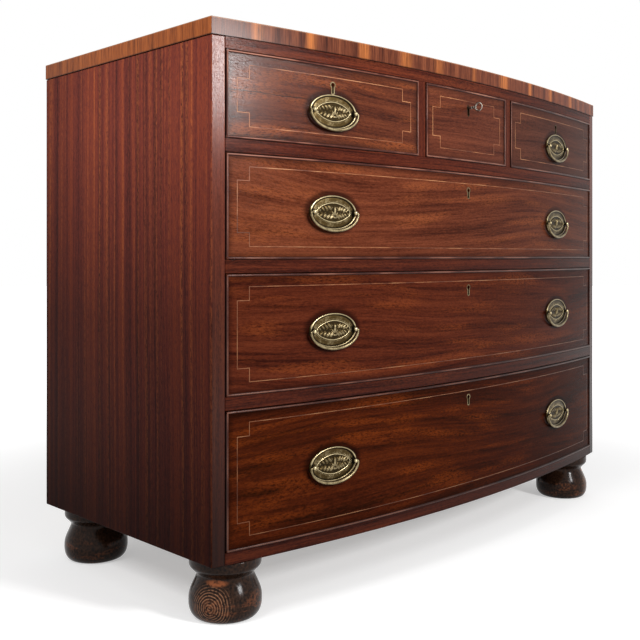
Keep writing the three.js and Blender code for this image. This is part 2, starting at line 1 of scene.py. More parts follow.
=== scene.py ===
# %% [markdown]
# # A bow front chest of drawers
#
# Three short drawers stand over three long ones, and all their fronts are swept forward in
# one shallow curve. A cabinetmaker would build the case, fit the drawers, lay the veneers,
# glue in the pale string lines and the beads, and screw on the brass at the very end. We
# work in the same order. The boards come in as a measured model, so every place in this
# notebook is read from that model, and we never move a board.

# %% Load the measured boards
import math

import bmesh
import bpy
from mathutils import Matrix, Vector


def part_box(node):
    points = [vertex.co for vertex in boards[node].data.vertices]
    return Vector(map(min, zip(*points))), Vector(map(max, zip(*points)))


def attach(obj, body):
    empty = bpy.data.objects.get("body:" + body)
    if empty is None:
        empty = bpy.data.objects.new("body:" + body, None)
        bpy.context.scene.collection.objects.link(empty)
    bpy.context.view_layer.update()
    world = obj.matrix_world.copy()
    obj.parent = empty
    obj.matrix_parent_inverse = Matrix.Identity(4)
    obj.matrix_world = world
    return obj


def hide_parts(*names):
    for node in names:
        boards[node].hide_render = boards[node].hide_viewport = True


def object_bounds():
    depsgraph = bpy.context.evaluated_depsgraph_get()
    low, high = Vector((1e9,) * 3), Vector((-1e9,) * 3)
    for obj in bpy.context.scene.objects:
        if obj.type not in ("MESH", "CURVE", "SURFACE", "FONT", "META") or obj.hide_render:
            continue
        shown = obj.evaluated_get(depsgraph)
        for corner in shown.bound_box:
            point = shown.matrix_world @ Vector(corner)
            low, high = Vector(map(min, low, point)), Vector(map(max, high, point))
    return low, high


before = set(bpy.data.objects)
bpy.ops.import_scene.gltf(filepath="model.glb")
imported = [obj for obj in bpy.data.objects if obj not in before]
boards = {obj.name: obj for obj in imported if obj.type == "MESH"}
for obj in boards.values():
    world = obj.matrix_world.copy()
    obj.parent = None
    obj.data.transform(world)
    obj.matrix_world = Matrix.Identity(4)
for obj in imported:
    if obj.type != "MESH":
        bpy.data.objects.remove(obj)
boards_low, boards_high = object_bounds()

# %% [markdown]
# ## The curve of the front
#
# Everything on the front follows one circle seen from above. It could be traced point by
# point, but two sizes are enough: half the width of the case, and how far the middle stands
# in front of the line through the corners. The radius follows from these. `bow_y` then
# answers the only question we ever ask: how far forward is the front at this x? And
# `seat_on_bow` turns a thing to face straight out of the curve there.

# %% The circle of the bow
MM = 0.001
BOW_DEPTH = 52 * MM

half_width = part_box("side_right")[1].x
bow_nose_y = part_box("top_rail")[0].y
bow_radius = (BOW_DEPTH**2 + half_width**2) / (2 * BOW_DEPTH)


def bow_y(x, out=0.0):
    """Y of the front at x, for a surface this far out in front of the drawers' faces."""
    return bow_nose_y + bow_radius - math.sqrt((bow_radius + out) ** 2 - x**2)


def seat_on_bow(x, z):
    """The place on the front at x and z, turned to the curve, as one matrix."""
    turned = Matrix.Rotation(math.asin(x / bow_radius), 4, "Z")
    return Matrix.Translation((x, bow_y(x), z)) @ turned


print("bow radius:", round(bow_radius, 3), "m, nose at y =", round(bow_nose_y, 4))

# %% [markdown]
# ## The camera
#
# The photographer stood low and to the left, with the camera held level, so upright edges
# stay upright. A level camera that sees more floor than ceiling needs its film shifted
# instead of its lens tilted. That is what `shift_y` does: no upright line leans.

# %% Stand the camera where the photographer stood
CAMERA_PLACE = (-1.3674, -1.2418, 0.5441)
CAMERA_TURN = math.radians(-44.84)
LENS = 51.02
FILM_SHIFT = -0.0996

camera_data = bpy.data.cameras.new("level_camera")
camera_data.lens = LENS
camera_data.shift_y = FILM_SHIFT
camera = bpy.data.objects.new("level_camera", camera_data)
camera.location = CAMERA_PLACE
camera.rotation_euler = (math.pi / 2, 0, CAMERA_TURN)
bpy.context.scene.collection.objects.link(camera)
bpy.context.scene.camera = camera
print("camera is", round(math.dist(CAMERA_PLACE[:2], (0, 0)), 2), "m from the middle")

# %% [markdown]
# ## Small tools for mixing finishes
#
# A finish is a little network of nodes. Written out in full, each node takes five lines and
# hides the idea, so we make a few short tools. The first ones mix a colour, add a node and
# fill its sockets, and do sums. The others turn a number into a colour, blend two colours,
# read the place on a piece, and start a new finish.

# %% Tools for colours and sums


def colour(red, green, blue):
    """A colour as the eye reads it, 0 to 255, turned into the light values a shader needs."""
    share = [c / 255 for c in (red, green, blue)]
    return [c / 12.92 if c <= 0.04045 else ((c + 0.055) / 1.055) ** 2.4 for c in share] + [1.0]


def shades(*mixes):
    return [colour(*mix) for mix in mixes]


def darker(shade, share):
    return [c * share for c in shade[:3]] + [1]


def plug(tree, socket, value):
    """Links a socket to another node, or sets its number."""
    if isinstance(value, bpy.types.NodeSocket):
        tree.links.new(value, socket)
    else:
        socket.default_value = value


def add_node(tree, kind, inputs=None, **settings):
    """Adds a shader node, sets its properties, and fills or links its inputs."""
    made = tree.nodes.new("ShaderNode" + kind)
    for key, value in settings.items():
        setattr(made, key, value)
    for key, value in (inputs or {}).items():
        plug(tree, made.inputs[key], value)
    return made


def sums(tree, operation, *terms, clamp=False):
    """One sum on numbers, such as ADD or SINE."""
    made = add_node(tree, "Math", dict(enumerate(terms)), operation=operation, use_clamp=clamp)
    return made.outputs[0]


def product(tree, first, *others):
    """Multiplies numbers, from the left to the right."""
    for other in others:
        first = sums(tree, "MULTIPLY", first, other)
    return first


def layered(tree, first, *others):
    """Adds up pairs of a layer and its share."""
    total = sums(tree, "MULTIPLY", *first)
    for layer, share in others:
        total = sums(tree, "MULTIPLY_ADD", layer, share, total)
    return total


def vector_sums(tree, operation, *terms):
    """One sum on places. LENGTH, DISTANCE and DOT_PRODUCT give a number, the others a place."""
    made = add_node(tree, "VectorMath", dict(enumerate(terms)), operation=operation)
    gives_number = operation in ("LENGTH", "DISTANCE", "DOT_PRODUCT")
    return made.outputs["Value" if gives_number else "Vector"]


def soft_step(tree, value, low, high):
    """0 at low, 1 at high, with a soft change between them."""
    inputs = {"Value": value, "From Min": low, "From Max": high}
    return add_node(tree, "MapRange", inputs, interpolation_type="SMOOTHSTEP").outputs[0]


print("a warm brown as light values:", [round(c, 3) for c in colour(120, 60, 40)[:3]])

# %% Tools for places, noises and finishes


def ramp(tree, factor, *stops):
    """Turns a number into a colour. Each stop is a place from 0 to 1 and a colour."""
    made = add_node(tree, "ValToRGB", {"Fac": factor})
    row = made.color_ramp.elements
    while len(row) < len(stops):
        row.new(0.5)
    for element, (place, shade) in zip(row, stops):
        element.position = place
        element.color = shade
    return made.outputs[0]


def blend(tree, factor, first, second, how="MIX"):
    """Goes from the first colour to the second. The numbers are the Mix node's colour sockets."""
    inputs = {0: factor, 6: first, 7: second}
    return add_node(tree, "Mix", inputs, data_type="RGBA", blend_type=how).outputs[2]


def place_in_metres(tree):
    """The place on the piece, measured as the boards are."""
    return add_node(tree, "TexCoord").outputs["Object"]


def split(tree, place):
    """The X, Y and Z of a place."""
    return add_node(tree, "SeparateXYZ", {0: place}).outputs


def noise(tree, place, scale, detail, roughness=0.5):
    inputs = {"Vector": place, "Scale": scale, "Detail": detail, "Roughness": roughness}
    return add_node(tree, "TexNoise", inputs).outputs[0]


def new_finish(name, roughness, gloss):
    """A new material with its node tree and shader."""
    material = bpy.data.materials.new(name)
    material.use_nodes = True
    shader = material.node_tree.nodes["Principled BSDF"]
    shader.inputs["Roughness"].default_value = roughness
    shader.inputs["Specular IOR Level"].default_value = gloss
    return material, material.node_tree, shader


def raise_grain(tree, shader, height, strength, distance):
    bump = add_node(tree, "Bump", {"Strength": strength, "Distance": distance, "Height": height})
    tree.links.new(bump.outputs[0], shader.inputs["Normal"])


print("tools for finishes ready")

# %% [markdown]
# ## Polished mahogany
#
# Mahogany seen close up is several things on top of each other: long bands where the log's
# growth changed its colour, finer streaks along the grain, hair-thin fibres, short dark
# pores, and a glow that comes and goes in patches, called the figure. A photograph wrapped
# on the board could show that, but it would stretch and repeat. Here each layer is a noise
# stretched along the grain and read at the board's own place in metres, so no two boards
# are alike and the scale is always right.

# %% Noises that run along the grain
PORE_SIZE = (5 * MM, 0.35 * MM)
HAIR_SIZE = (40 * MM, 0.9 * MM)
MOTTLE_SIZE = (7 * MM, 2 * MM)
BEND_SIZE = (0.7, 0.3)
THROUGH_SHARE = 0.2


def grain_way(tree, along, across, seed):
    """The place on the board, and the same place along the grain, across it and through it."""
    parts = split(tree, place_in_metres(tree))
    through = ({"X", "Y", "Z"} - {along, across}).pop()
    return parts, (sums(tree, "ADD", parts[along], seed), parts[across], parts[through])


def stretched_noise(tree, way, size, detail=2.0, roughness=0.55):
    """A noise whose marks are this long along the grain and this wide across it."""
    length, width = size
    scales = (1 / length, 1 / width, THROUGH_SHARE / width)
    scaled = {i: product(tree, part, scale) for i, (part, scale) in enumerate(zip(way, scales))}
    place = add_node(tree, "CombineXYZ", scaled).outputs[0]
    return noise(tree, place, 1.0, detail, roughness)


print("pores:", [round(size / MM, 2) for size in PORE_SIZE], "mm long and wide")

# %% [markdown]
# ## Painted shade towards the floor, the right and the back
#
# The colour is kept at the upper left and darkened towards the floor, the right and the
# back. This darkening is painted shade of light that falls from the upper left. Painting
# that by hand would tie it to one view. Instead the colour is multiplied by three shares,
# which follow the height, the way to the right and the way to the back.

# %% Painted shade by height, to the right and to the back
SHADE_HEIGHTS = (0.12, 0.5, 0.85)
SHADE_HALFWAY = 0.3
SHADE_START = -0.6
RIGHT_SHADE_SHARE = 0.5
BACK_SHADE_SHARE = 0.7
BACK_SHADE_REACH = 0.2


def deepen(tree, wood, factor, *stops):
    """Darkens a colour. Each stop is a place of the factor, 0 to 1, and the share that is left."""
    greys = [(place, [share] * 3 + [1]) for place, share in stops]
    return blend(tree, 1.0, wood, ramp(tree, factor, *greys), how="MULTIPLY")


def paint_falloff_shade(tree, parts, wood, foot_shade_share, right_shade_share):
    """Paints shade on the colour towards the floor, the right and the back; the upper left keeps it."""
    height = product(tree, parts["Z"], 1 / boards_high.z)
    halfway = SHADE_HALFWAY + (1 - SHADE_HALFWAY) * foot_shade_share
    wood = deepen(tree, wood, height, *zip(SHADE_HEIGHTS, (foot_shade_share, halfway, 1)))
    rightward = soft_step(tree, parts["X"], SHADE_START * half_width, half_width)
    wood = deepen(tree, wood, rightward, (0, 1), (1, right_shade_share))
    backward = soft_step(tree, parts["Y"], boards_high.y - BACK_SHADE_REACH, boards_high.y)
    return deepen(tree, wood, backward, (0, 1), (1, BACK_SHADE_SHARE))


# Above the printed height the wood gets no painted shade.
print("bleached from", round(SHADE_HEIGHTS[2] * boards_high.z, 2), "m up")

# %% [markdown]
# ## Dirt, old polish, painted shadow and a crack
#
# A drawer's front has marks of its own. Dirt and old polish build up along its edges and
# round the brass, where the rag can't reach, and round the brass the wood also gets painted
# shadow of the handle. One veneer has split along the grain as it shrank. The inner face was
# never polished at all, so it shows dry wood. Each mark could be a painted mask. Instead
# each starts as a distance, from the nearest edge, the brass, the split or the curve of the
# front, which fits a front of any size and becomes a share with soft ends.

# %% Marks of a drawer's front
FRONT_THICK = 22 * MM
INNER_FACE = (FRONT_THICK - 3 * MM, FRONT_THICK - 1 * MM)
GRIME_REACH = (15 * MM, 4 * MM)
GRIME_SHARE = 0.5
GRIME_DARK = 0.4
BRASS_REACH = (52 * MM, 32 * MM)
# Round the brass: partly dirt and old polish, partly painted shadow of the handle.
BRASS_DIRT_AND_SHADOW_REACH = (1.2, 0.98)
BRASS_DIRT_AND_SHADOW_SHARE = 0.75
BRASS_DIRT_AND_SHADOW_DARK = 0.25
CRACK_WAVE = (40 * MM, 40 * MM)
CRACK_SWAY = 6 * MM
CRACK_EDGE = (0.9 * MM, 0.3 * MM)
CRACK_TAIL = 30 * MM
CRACK_TONE = colour(20, 8, 5)
DRY_STOPS = (0.4, 0.6)
DRY_TONES = shades((98, 62, 40), (142, 96, 62))


def edge_distance(tree, parts, low, high):
    """Metres to the nearest edge of a drawer's front."""
    ends = ((parts["X"], low.x), (high.x, parts["X"]), (parts["Z"], low.z), (high.z, parts["Z"]))
    left, right, foot, head = (sums(tree, "SUBTRACT", *pair) for pair in ends)
    nearest = sums(tree, "MINIMUM", left, right)
    return sums(tree, "MINIMUM", nearest, sums(tree, "MINIMUM", foot, head))


def brass_distance(tree, parts, at_x, at_z):
    """1 at the rim of a handle's plate, less inside it and more outside."""
    across = sums(tree, "SUBTRACT", sums(tree, "ABSOLUTE", parts["X"]), at_x)
    across = product(tree, across, 1 / BRASS_REACH[0])
    up = product(tree, sums(tree, "SUBTRACT", parts["Z"], at_z), 1 / BRASS_REACH[1])
    squares = sums(tree, "MULTIPLY_ADD", across, across, product(tree, up, up))
    return sums(tree, "SQRT", squares)


def bow_depth(tree, parts, nose_y):
    """How far behind the curve of the front a point lies, when the curve's nose is at nose_y."""
    bow = product(tree, parts["X"], parts["X"], 0.5 / bow_radius)
    return sums(tree, "SUBTRACT", sums(tree, "SUBTRACT", parts["Y"], nose_y), bow)


def open_crack(tree, parts, way, wood, crack_z, crack_end):
    """A dark split along the grain, from the left end of the front to crack_end."""
    jagged = stretched_noise(tree, way, CRACK_WAVE)
    off = sums(tree, "MULTIPLY_ADD", jagged, CRACK_SWAY, sums(tree, "SUBTRACT", way[1], crack_z))
    gap = soft_step(tree, sums(tree, "ABSOLUTE", off), *CRACK_EDGE)
    reach = soft_step(tree, parts["X"], crack_end, crack_end - CRACK_TAIL)
    return blend(tree, product(tree, gap, reach), wood, CRACK_TONE)


def front_marks(tree, parts, way, tone, wood, dark, edges, brass_at=None, crack=None):
    """A front's own marks: a crack, edge dirt, dirt and painted shadow round the brass, a dry inner face.
    """
    if crack:
        wood = open_crack(tree, parts, way, wood, *crack)
    grime = soft_step(tree, edge_distance(tree, parts, *edges), *GRIME_REACH)
    wood = blend(tree, product(tree, grime, GRIME_SHARE), wood, darker(dark, GRIME_DARK))
    if brass_at:
        # Dirt and painted shadow round the handle's plate.
        dirt_and_shadow = soft_step(tree, brass_distance(tree, parts, *brass_at), *BRASS_DIRT_AND_SHADOW_REACH)
        wood = blend(tree, product(tree, dirt_and_shadow, BRASS_DIRT_AND_SHADOW_SHARE), wood, darker(dark, BRASS_DIRT_AND_SHADOW_DARK))
    dry = ramp(tree, tone, *zip(DRY_STOPS, DRY_TONES))
    behind = soft_step(tree, bow_depth(tree, parts, bow_nose_y), *INNER_FACE)
    return blend(tree, behind, wood, dry)


print("dirt reaches", round(GRIME_REACH[0] / MM), "mm in from a front's edge")

# %% [markdown]
# ## The layers put together
#
# Now the layers meet in one finish. Bands, streaks, fibres and mottle are added up into one
# tone, which a ramp turns into the wood's own colours. The glow is laid over it, then the
# dark pores, then painted shade towards the floor, the right and the back, and on a front
# its dirt and other marks. The same layers also make the polish a little uneven and sink
# the pores, because a colour alone would look printed.

# %% The wood finish
LAYER_SHARES = (0.32, 0.24, 0.24, 0.2)
WOOD_STOPS = (0.4, 0.5, 0.59)
FINE_SHARE = (0.45, 1 / 4)
GLOW_RISE = (0.48, 0.7)
MOTTLE_RISE = (0.3, 0.6)
PORE_RISE = (0.56, 0.68)
PORE_SHARE = 0.6
PORE_PIT = -0.6
POLISH = 0.26
POLISH_UNEVEN = (0.16, 0.12)
WOOD_BUMP = (0.15, 0.3 * MM)


def polished_wood(
    name,
    grain,
    seed,
    tones,
    bands_size,
    flame,
    gloss,
    bend=0.12,
    foot_shade_share=0.9,
    right_shade_share=RIGHT_SHADE_SHARE,
    front=None,
):
    """Polished wood. grain is the axis along it and the axis across it, tones are the dark,
    middle, light and glowing colours, bands_size is the length and width of its bands and of
    its glowing patches, flame is how strongly these glow, bend is how far the grain drifts
    sideways, and front holds the places of a drawer front's own marks."""
    material, tree, shader = new_finish(name, POLISH, gloss)
    dark, middle, light, glow = tones
    length, width, *glow_size = bands_size
    parts, way = grain_way(tree, *grain, seed)
    run, side, through = way
    drift = stretched_noise(tree, way, BEND_SIZE, detail=1.0)
    bent = (run, sums(tree, "MULTIPLY_ADD", drift, bend, side), through)
    bands = stretched_noise(tree, bent, (length, width))
    fine_size = (FINE_SHARE[0] * length, FINE_SHARE[1] * width)
    fine = stretched_noise(tree, bent, fine_size, detail=3.0)
    hair = stretched_noise(tree, bent, HAIR_SIZE, roughness=0.7)
    mottle = stretched_noise(tree, bent, MOTTLE_SIZE, roughness=0.7)
    tone = layered(tree, *zip((bands, fine, hair, mottle), LAYER_SHARES))
    wood = ramp(tree, tone, *zip(WOOD_STOPS, (dark, middle, light)))
    figure = soft_step(tree, stretched_noise(tree, bent, glow_size), *GLOW_RISE)
    shine = product(tree, figure, flame, soft_step(tree, mottle, *MOTTLE_RISE))
    wood = blend(tree, shine, wood, glow)
    pore = soft_step(tree, stretched_noise(tree, bent, PORE_SIZE, detail=1.0), *PORE_RISE)
    wood = blend(tree, product(tree, pore, PORE_SHARE), wood, dark)
    # Painted shade towards the floor, the right and the back.
    wood = paint_falloff_shade(tree, parts, wood, foot_shade_share, right_shade_share)
    if front:
        wood = front_marks(tree, parts, way, tone, wood, dark, **front)
    tree.links.new(wood, shader.inputs["Base Color"])
    uneven = sums(tree, "MULTIPLY_ADD", fine, *POLISH_UNEVEN)
    tree.links.new(uneven, shader.inputs["Roughness"])
    raise_grain(tree, shader, sums(tree, "MULTIPLY_ADD", pore, PORE_PIT, hair), *WOOD_BUMP)
    return material


print("layers in the wood: bands, streaks, fibres, mottle, figure, pores")

# %% [markdown]
# ## The wood of the case
#
# The sides are wide boards with bold upright figure. The rails, the muntins and the edges of
# the sides beside the drawers are narrow and straight-grained, so they share one set of
# sizes and differ in the way of their grain, their colours and how much painted shade they
# take towards the floor.

# %% Finishes of the case
SIDE_BANDS = (2.6, 17 * MM, 1.6, 8 * MM)
RAIL_BANDS = (0.8, 8 * MM, 0.24, 26 * MM)
SIDE_TONES = shades((80, 42, 40), (130, 62, 52), (158, 76, 52), (204, 112, 66))
RAIL_TONES = shades((42, 14, 9), (82, 34, 22), (110, 50, 30), (136, 68, 38))
STILE_TONES = shades((78, 32, 20), (116, 52, 34), (136, 66, 40), (156, 84, 50))


def frame_wood(name, grain, seed, tones, gloss, foot_shade_share=0.9):
    """The narrow, straight-grained wood between and beside the drawers."""
    return polished_wood(
        name, grain, seed, tones, RAIL_BANDS, flame=0.3, gloss=gloss, bend=0.02, foot_shade_share=foot_shade_share
    )


side_wood = polished_wood(
    "mahogany_side_polish",
    ("Z", "Y"),
    seed=7.7,
    tones=SIDE_TONES,
    bands_size=SIDE_BANDS,
    flame=0.6,
    gloss=0.01,
    bend=0.012,
    foot_shade_share=0.11,
    right_shade_share=0.9,
)
case_wood = frame_wood("mahogany_rail_polish", ("X", "Z"), 3.1, RAIL_TONES, gloss=0.04, foot_shade_share=0.5)
muntin_wood = frame_wood("mahogany_muntin_polish", ("Z", "X"), 1.3, RAIL_TONES, gloss=0.04)
stile_wood = frame_wood("mahogany_stile_polish", ("Z", "X"), 4.9, STILE_TONES, gloss=0.11, foot_shade_share=0.1)
print("case finishes:", [m.name for m in (side_wood, case_wood, muntin_wood, stile_wood)])

# %% [markdown]
# ## The crossbanded top
#
# The edge of the top is not solid wood. Short pieces of a brighter wood are glued on with
# their grain upright, side by side, which shows off their colour and hides the end grain.
# We could cut a hundred little strips, but they would be as thin as paper. Instead the
# finish reads how far along the edge it is. A list tells it where the bright pieces lie,
# a noise gives each strip its own tone, and fine upright grain goes on last. The same
# finish turns to plain long grain on the upper face, with the band and a pale line round
# its border, and stays plain along the back, which nobody was meant to see.

# %% Strips of the crossband
BAND_STRIP = 15 * MM
BAND_HAIR = (30 * MM, 1.6 * MM)
BAND_LAYERS = (0.55, 0.45)
TONE_STOPS = (0.38, 0.5, 0.62)
BRIGHT_RISE = (0.05, 0.9)
BRIGHT_LIFT = (3.2, -0.95)
PLAIN_BRIGHT = 0.3
BRIGHT_PIECES = [
    (-478, 17, 1.0),
    (-381, 17, 1.0),
    (-271, 18, 1.0),
    (-173, 20, 1.0),
    (-88, 24, 0.6),
    (16, 12, 0.6),
    (117, 24, 0.9),
    (218, 13, 0.7),
    (307, 14, 0.7),
    (409, 15, 0.7),
]
top_low, top_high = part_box("top_board")


def bright_pieces(tree, run):
    """How bright the crossband is along the front edge. The list gives the middle and the reach
    of each bright piece in millimetres, and its strength."""
    span = top_high.x - top_low.x
    place = sums(tree, "MULTIPLY_ADD", run, 1 / span, -top_low.x / span)
    stops = []
    for middle, reach, strength in BRIGHT_PIECES:
        for off, level in ((-reach, 0), (0, strength), (reach, 0)):
            stops.append((((middle + off) * MM - top_low.x) / span, [level, level, level, 1]))
    lit = add_node(tree, "RGBToBW", {0: ramp(tree, place, *stops)}).outputs[0]
    return soft_step(tree, lit, *BRIGHT_RISE)


def crossband_colour(tree, run, up, seed, bright, tones):
    """Upright strips along an edge: a tone for each strip, bright pieces, and fine grain."""
    place = add_node(tree, "CombineXYZ", {0: product(tree, run, 1 / BAND_STRIP), 1: seed}).outputs[0]
    strips = noise(tree, place, 1.0, 2.0)
    hair = stretched_noise(tree, (up, run, seed), BAND_HAIR)
    tone = layered(tree, *zip((strips, hair), BAND_LAYERS))
    wood = ramp(tree, tone, *zip(TONE_STOPS, tones))
    lift = sums(tree, "MULTIPLY_ADD", tone, *BRIGHT_LIFT)
    return blend(tree, sums(tree, "MULTIPLY", bright, lift, clamp=True), wood, tones[3])


print("bright pieces in the front edge:", len(BRIGHT_PIECES))

# %% The top board's finish
BAND_BORDER = 42 * MM
LINE_WIDTH = 1.2 * MM
LINE_SOFT = 0.3 * MM
BORDER_SOFT = 0.2 * MM
FACE_TURN = (0.6 * MM, 0.2 * MM)
UPPER_TURN = (0.5 * MM, 0.1 * MM)
ARRIS_WEAR_AND_HIGHLIGHT_REACH = (2.2 * MM, 0.8 * MM)
UNDER_SHADOW_REACH = (2.2 * MM, 0.6 * MM)
UNDER_SHADOW_SHARE = 0.7
ARRIS_WEAR_AND_HIGHLIGHT_SHARE = 0.4
BACK_SHADE_FLANK_SHARE = 0.4
UNDER_SHADOW_TONE, ARRIS_WEAR_AND_HIGHLIGHT_TONE, LINE_TONE = shades((30, 13, 8), (210, 160, 120), (176, 116, 70))
FIELD_BANDS = (1.4, 16 * MM)
FIELD_FINE = (0.3, 2 * MM)
FIELD_LAYERS = (0.6, 0.4)
FIELD_SEED = 0.5
EDGE_TONES = shades((62, 28, 18), (100, 51, 33), (130, 73, 47), (190, 112, 58))
FLANK_TONES = shades((84, 36, 16), (148, 72, 34), (178, 94, 44), (206, 124, 62))
FIELD_TONES = shades((74, 30, 18), (112, 52, 32), (140, 72, 44))


def nearing(tree, value, face, reach):
    """0 further from a face than the first reach, 1 nearer to it than the second."""
    return soft_step(tree, value, face - reach[0], face - reach[1])


def top_edge(tree, parts):
    """The crossband on the front and the flanks, with painted shadow underneath, a pale arris
    that is partly rubbed wear and partly painted highlight, painted shade on the flanks
    towards the back, and plain behind.
    """
    lit = bright_pieces(tree, parts["X"])
    front = crossband_colour(tree, parts["X"], parts["Z"], seed=2.0, bright=lit, tones=EDGE_TONES)
    flank = crossband_colour(
        tree, parts["Y"], parts["Z"], seed=9.0, bright=PLAIN_BRIGHT, tones=FLANK_TONES
    )
    # Painted shade on the flanks towards the back.
    back_shade = soft_step(tree, parts["Y"], top_high.y - BACK_SHADE_REACH, top_high.y)
    flank = blend(tree, product(tree, back_shade, BACK_SHADE_FLANK_SHARE), flank, FLANK_TONES[0])
    sideways = sums(tree, "ABSOLUTE", parts["X"])
    edge = blend(tree, nearing(tree, sideways, top_high.x, FACE_TURN), front, flank)
    # Painted shadow: a dark line along the underside of the edge.
    under_shadow = soft_step(tree, parts["Z"], top_low.z + UNDER_SHADOW_REACH[0], top_low.z + UNDER_SHADOW_REACH[1])
    edge = blend(tree, product(tree, under_shadow, UNDER_SHADOW_SHARE), edge, UNDER_SHADOW_TONE)
    # Pale line on the upper arris: partly rubbed wear, partly painted highlight.
    arris_wear_and_highlight = nearing(tree, parts["Z"], top_high.z, ARRIS_WEAR_AND_HIGHLIGHT_REACH)
    edge = blend(tree, product(tree, arris_wear_and_highlight, ARRIS_WEAR_AND_HIGHLIGHT_SHARE), edge, ARRIS_WEAR_AND_HIGHLIGHT_TONE)
    return blend(tree, nearing(tree, parts["Y"], top_high.y, FACE_TURN), edge, FIELD_TONES[1])


def top_field(tree, parts, fine):
    """Long grain with a crossbanded border and a pale line along its front and its ends."""
    bands = stretched_noise(tree, (parts["X"], parts["Y"], FIELD_SEED), FIELD_BANDS)
    tone = layered(tree, *zip((bands, fine), FIELD_LAYERS))
    field = ramp(tree, tone, *zip(TONE_STOPS, FIELD_TONES))
    rim = sums(tree, "SUBTRACT", top_high.x, sums(tree, "ABSOLUTE", parts["X"]))
    front_rim = bow_depth(tree, parts, top_low.y)
    line_end = BAND_BORDER + LINE_WIDTH
    for gap, run, across, seed in ((front_rim, "X", "Y", 5.0), (rim, "Y", "X", 6.0)):
        border = crossband_colour(tree, parts[run], parts[across], seed, PLAIN_BRIGHT, EDGE_TONES)
        in_line = soft_step(tree, gap, line_end, line_end - LINE_SOFT)
        field = blend(tree, in_line, field, LINE_TONE)
        in_border = soft_step(tree, gap, BAND_BORDER + BORDER_SOFT, BAND_BORDER - BORDER_SOFT)
        field = blend(tree, in_border, field, border)
    return field


def crossbanded_top(name):
    material, tree, shader = new_finish(name, roughness=0.24, gloss=0.08)
    parts = split(tree, place_in_metres(tree))
    fine = stretched_noise(tree, (parts["X"], parts["Y"], FIELD_SEED), FIELD_FINE, detail=3.0)
    upper = nearing(tree, parts["Z"], top_high.z, UPPER_TURN)
    wood = blend(tree, upper, top_edge(tree, parts), top_field(tree, parts, fine))
    tree.links.new(wood, shader.inputs["Base Color"])
    raise_grain(tree, shader, fine, *WOOD_BUMP)
    return material


top_wood = crossbanded_top("crossbanded_top_polish")
print("top board is", round((top_high.z - top_low.z) / MM, 1), "mm thick")

# %% [markdown]
# ## Linings, boards, brass and iron
#
# The inside of a chest was never polished. The drawer linings are dry oak and the back is
# pine gone brown, with long soft streaks. Brass of this age is nearly black in its hollows,
# olive on its plain ground, and pale gold where hands and rags rub it. Each metal piece
# that we make carries a number on every point, called `worn`, that says how much it is
# rubbed, and the finish simply reads it. The lock comes as measured boards do, without that
# number, so its finishes are given one number for the whole piece.

# %% Dry woods and metals
DRIFT_SIZE = (0.5, 0.2)
FLECK_SIZE = (12 * MM, 0.6 * MM)
DRY_STREAK = 0.9
DRY_BEND = 0.02
DRY_LAYERS = (0.7, 0.3)
DRY_BUMP = (0.35, 0.5 * MM)
SPOT_NOISE = (420.0, 3.0, 0.6)
SPOT_SHARE = 0.35
PATCH_NOISE = (70.0, 2.0)
PATCH_SHARE = 0.45
METAL_STOPS = (0.05, 0.42, 0.9)
METAL_BUMP = (0.15, 0.2 * MM)
OLIVE_BRASS = shades((17, 13, 8), (62, 49, 26), (178, 162, 126))
GREY_IRON = shades((34, 30, 28), (84, 76, 70), (160, 152, 142))


def dry_wood(name, grain, seed, tones, streak):
    material, tree, shader = new_finish(name, roughness=0.78, gloss=0.25)
    _, way = grain_way(tree, *grain, seed)
    run, side, through = way
    drift = stretched_noise(tree, way, DRIFT_SIZE, detail=1.0)
    bent = (run, sums(tree, "MULTIPLY_ADD", drift, DRY_BEND, side), through)
    bands = stretched_noise(tree, bent, (DRY_STREAK, streak))
    flecks = stretched_noise(tree, bent, FLECK_SIZE, detail=1.0)
    tone = layered(tree, *zip((bands, flecks), DRY_LAYERS))
    wood = ramp(tree, tone, *zip((TONE_STOPS[0], TONE_STOPS[2]), tones))
    tree.links.new(wood, shader.inputs["Base Color"])
    raise_grain(tree, shader, flecks, *DRY_BUMP)
    return material


def worn_value(tree):
    return add_node(tree, "Attribute", attribute_name="worn").outputs["Fac"]


def old_metal(name, tones, rough_hollow, rough_rubbed, worn=None):
    """Metal that is dull in its hollows and bright where it is rubbed. How much it is rubbed
    comes from the points' worn value, or is the one number worn for the whole piece."""
    material, tree, shader = new_finish(name, roughness=0.4, gloss=0.5)
    if worn is None:
        worn = worn_value(tree)
    place = place_in_metres(tree)
    spots = noise(tree, place, *SPOT_NOISE)
    patches = noise(tree, place, *PATCH_NOISE)
    uneven = sums(tree, "MULTIPLY_ADD", sums(tree, "SUBTRACT", patches, 0.5), PATCH_SHARE, worn)
    speckle = sums(tree, "SUBTRACT", spots, 0.5)
    rubbed = sums(tree, "MULTIPLY_ADD", speckle, SPOT_SHARE, uneven, clamp=True)
    tree.links.new(ramp(tree, rubbed, *zip(METAL_STOPS, tones)), shader.inputs["Base Color"])
    shader.inputs["Metallic"].default_value = 1.0
    inputs = {"Value": rubbed, "To Min": rough_hollow, "To Max": rough_rubbed}
    tree.links.new(add_node(tree, "MapRange", inputs).outputs[0], shader.inputs["Roughness"])
    raise_grain(tree, shader, spots, *METAL_BUMP)
    return material


